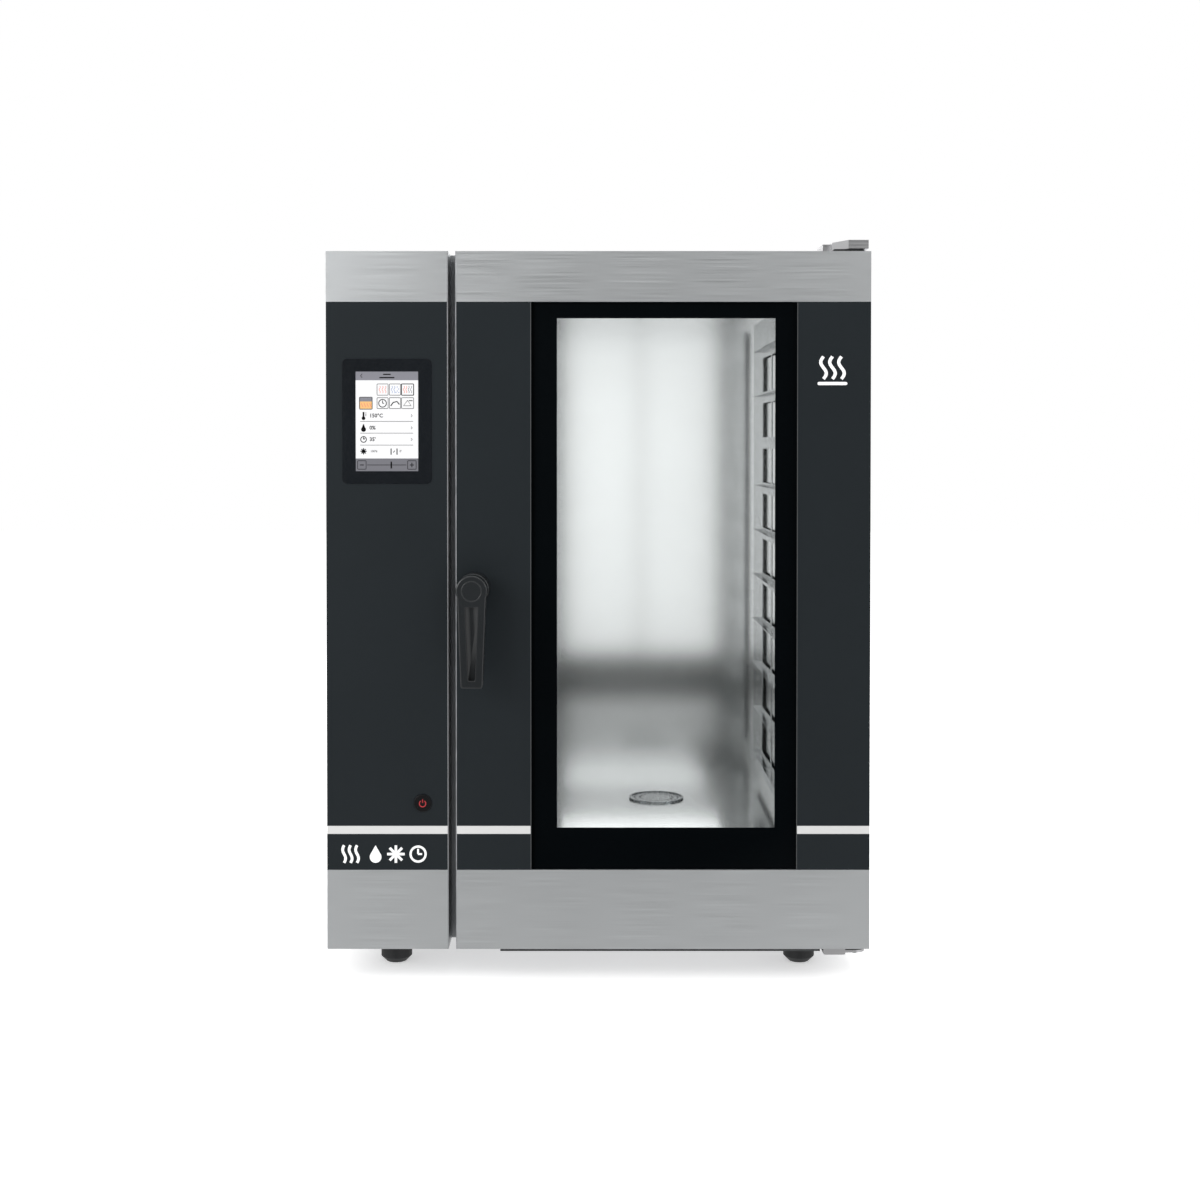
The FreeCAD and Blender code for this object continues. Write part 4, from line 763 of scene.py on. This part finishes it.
def louvre_hoods():
    """A pressed hood over each vent slot of the back sheet, open along its lower edge."""
    lo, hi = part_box("cooling_fan_frame")
    middle = (lo.x + hi.x) / 2
    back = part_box("rear_panel")[1].y
    half = 0.048
    cheek_thick = 0.0008
    bm = bmesh.new()
    for k in range(VENT_SLOTS):
        low = SLOT_LOW + SLOT_PITCH * k
        top, lip = (back, low + 0.0095), (back + 0.0065, low + 0.0010)
        section = (top, lip, (back + 0.0058, low + 0.0004), (back, low + 0.0080))
        ends = [[bm.verts.new((middle + side * half, y, z)) for y, z in section]
                for side in (-1, 1)]
        for i in range(4):
            j = (i + 1) % 4
            bm.faces.new((ends[0][i], ends[0][j], ends[1][j], ends[1][i]))
        bm.faces.new(ends[0])
        bm.faces.new(ends[1])
        for side in (-1, 1):
            cheek = []
            for inner in (0.0, cheek_thick):
                across = middle + side * (half - inner)
                cheek.append([bm.verts.new((across, y, z))
                              for y, z in (top, lip, (back, low + 0.0004))])
            for i in range(3):
                j = (i + 1) % 3
                bm.faces.new((cheek[0][i], cheek[0][j], cheek[1][j], cheek[1][i]))
            bm.faces.new(cheek[0])
            bm.faces.new(cheek[1])
    finish_piece(bm, "louvre_hoods", LOOKS["rear_steel"], "cabinet")


def blank_plate():
    """A blank riveted plate on the back sheet."""
    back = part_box("rear_panel")[1].y
    left, low, wide, high, thick = 0.075, 0.300, 0.110, 0.070, 0.0008
    rivet_edge = 0.008
    bm = bmesh.new()
    sheet_xz(bm, rounded_outline(left, left + wide, low, low + high, 0.004), back, thick)
    finish_piece(bm, "blank_plate", LOOKS["pipe_steel"], "cabinet")
    places = [(left + dx, back + thick, low + dz) for dx in (rivet_edge, wide - rivet_edge)
              for dz in (rivet_edge, high - rivet_edge)]
    screw_heads("plate_rivets", places, (0, 1, 0))


def sheet_screws():
    """Screws along the edges of the back sheet and of the top cover."""
    lo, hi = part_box("rear_panel")
    edge = 0.011
    rows = [lo.z + edge + (hi.z - lo.z - 2 * edge) * k / 4 for k in range(5)]
    columns = [lo.x + edge + (hi.x - lo.x - 2 * edge) * k / 3 for k in range(4)]
    places = [(x, hi.y, z) for x in (columns[0], columns[-1]) for z in rows]
    places += [(x, hi.y, z) for x in columns[1:-1] for z in (rows[0], rows[-1])]
    screw_heads("rear_screws", places, (0, 1, 0))
    lo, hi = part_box("top_cover")
    depth = [lo.y + 0.13 + (hi.y - lo.y - 0.145) * k / 2 for k in range(3)]
    places = [(x, y, hi.z) for x in (lo.x + edge, hi.x - edge) for y in depth]
    places += [(x, depth[-1], hi.z) for x in columns[1:-1]]
    screw_heads("top_screws", places, (0, 0, 1))


louvre_hoods()
blank_plate()
sheet_screws()
steam_mark()
mode_marks()
power_symbol()
turned_handle()
glass_edge_highlights()
drain_slot_shade()


# ------------------------------------------------------------------ floor, light and camera
def pale_floor():
    bm = bmesh.new()
    reach = 14.0
    corners = [bm.verts.new(p) for p in ((-reach, -reach, 0), (reach, -reach, 0),
                                         (reach, reach, 0), (-reach, reach, 0))]
    bm.faces.new(corners)
    mesh = bpy.data.meshes.new("floor")
    bm.to_mesh(mesh)
    bm.free()
    floor = bpy.data.objects.new("floor", mesh)
    bpy.context.scene.collection.objects.link(floor)
    mat, tree, shader = new_material("floor_pale")
    speckle = noise(tree, 40.0)
    tone = ramp(tree, speckle, [(0.3, (0.90, 0.90, 0.90)), (0.7, (0.93, 0.93, 0.93))])
    tree.links.new(tone, shader.inputs["Base Color"])
    shader.inputs["Roughness"].default_value = 0.9
    shader.inputs["Specular IOR Level"].default_value = 0.1
    shader.inputs["Emission Color"].default_value = (1, 1, 1, 1)
    shader.inputs["Emission Strength"].default_value = 0.45
    mesh.materials.append(mat)
    floor.visible_glossy = False
    floor.visible_transmission = False


def studio_world():
    """White behind the object; as light, dark ahead of the front and paler around."""
    world = bpy.data.worlds.new("studio")
    bpy.context.scene.world = world
    world.use_nodes = True
    tree = world.node_tree
    tree.nodes.clear()
    out = tree.nodes.new("ShaderNodeOutputWorld")
    seen = tree.nodes.new("ShaderNodeBackground")
    seen.inputs["Color"].default_value = (1, 1, 1, 1)
    seen.inputs["Strength"].default_value = 1.0
    around = tree.nodes.new("ShaderNodeBackground")
    place = tree.nodes.new("ShaderNodeTexCoord")
    split = tree.nodes.new("ShaderNodeSeparateXYZ")
    tree.links.new(place.outputs["Generated"], split.inputs["Vector"])
    ahead = tree.nodes.new("ShaderNodeValToRGB")
    stops = ((0.0, 0.01), (0.018, 0.015), (0.045, 0.75), (0.08, 1.0), (0.5, 0.6), (1.0, 0.65))
    elements = ahead.color_ramp.elements
    while len(elements) < len(stops):
        elements.new(0.5)
    for element, (position, value) in zip(elements, stops):
        element.position = position
        element.color = (value, value, value, 1)
    below = tree.nodes.new("ShaderNodeMapRange")
    below.inputs["From Min"].default_value = -0.35
    below.inputs["From Max"].default_value = 0.15
    below.inputs["To Min"].default_value = 1.0
    below.inputs["To Max"].default_value = 1.2
    tree.links.new(split.outputs["Z"], below.inputs["Value"])
    tree.links.new(below.outputs["Result"], around.inputs["Strength"])
    remap = tree.nodes.new("ShaderNodeMapRange")
    remap.inputs["From Min"].default_value = -1.0
    remap.inputs["From Max"].default_value = 1.0
    tree.links.new(split.outputs["Y"], remap.inputs["Value"])
    tree.links.new(remap.outputs["Result"], ahead.inputs["Fac"])
    tree.links.new(ahead.outputs["Color"], around.inputs["Color"])
    rays = tree.nodes.new("ShaderNodeLightPath")
    mix = tree.nodes.new("ShaderNodeMixShader")
    tree.links.new(rays.outputs["Is Camera Ray"], mix.inputs["Fac"])
    tree.links.new(around.outputs["Background"], mix.inputs[1])
    tree.links.new(seen.outputs["Background"], mix.inputs[2])
    tree.links.new(mix.outputs["Shader"], out.inputs["Surface"])


def lamp(name, place, aim, size, power, hidden=False, spread=180.0):
    """A rectangular soft light at a place, aimed at a point."""
    data = bpy.data.lights.new(name, "AREA")
    data.shape = "RECTANGLE"
    data.size, data.size_y = size
    data.energy = power
    data.spread = math.radians(spread)
    obj = bpy.data.objects.new(name, data)
    obj.location = place
    way = Vector(aim) - Vector(place)
    obj.rotation_euler = way.to_track_quat("-Z", "Y").to_euler()
    obj.visible_camera = False
    if hidden:
        obj.visible_transmission = False
    bpy.context.scene.collection.objects.link(obj)
    return obj


def studio_camera():
    data = bpy.data.cameras.new("camera")
    data.sensor_width = 36.0
    data.lens = 50.5
    data.shift_x = 0.0142
    data.shift_y = -0.104
    data.clip_start = 0.05
    data.clip_end = 100.0
    camera = bpy.data.objects.new("camera", data)
    camera.location = (-0.025, -3.06, 0.872)
    camera.rotation_euler = (math.radians(90 - 1.0), 0, 0)
    bpy.context.scene.collection.objects.link(camera)
    bpy.context.scene.camera = camera


pale_floor()
studio_world()
lamp("key", (-2.3, -2.2, 1.6), (0, 0, 0.7), (2.2, 1.6), 42)
lamp("fill", (2.4, -1.8, 1.7), (0, 0, 0.7), (1.8, 1.6), 14)
lamp("overhead", (0, 0.4, 3.4), (0, 0, 0), (3.0, 3.0), 50)
lamp("back", (0.5, 3.0, 2.4), (0, 0, 0.6), (2.4, 1.6), 50)
liner_lo, liner_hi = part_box("cavity_liner")
glow_y = liner_lo.y + 0.022
for name, x, z, size, power in (("glow_left", 0.018, 0.7535, (0.180, 0.751), 0.063),
                                ("glow_right", 0.206, 0.7535, (0.180, 0.751), 0.063),
                                ("glow_low", 0.112, 0.248, (0.36, 0.046), 0.0042)):
    lamp(name, (x, glow_y, z), (x, 1.0, z), size, power, hidden=True, spread=60.0)
lamp("glow_floor", (0.085, -0.02, 0.30), (0.085, -0.02, 0.0), (0.30, 0.44), 0.42, hidden=True)
studio_camera()
bpy.context.scene.view_settings.view_transform = "Standard"
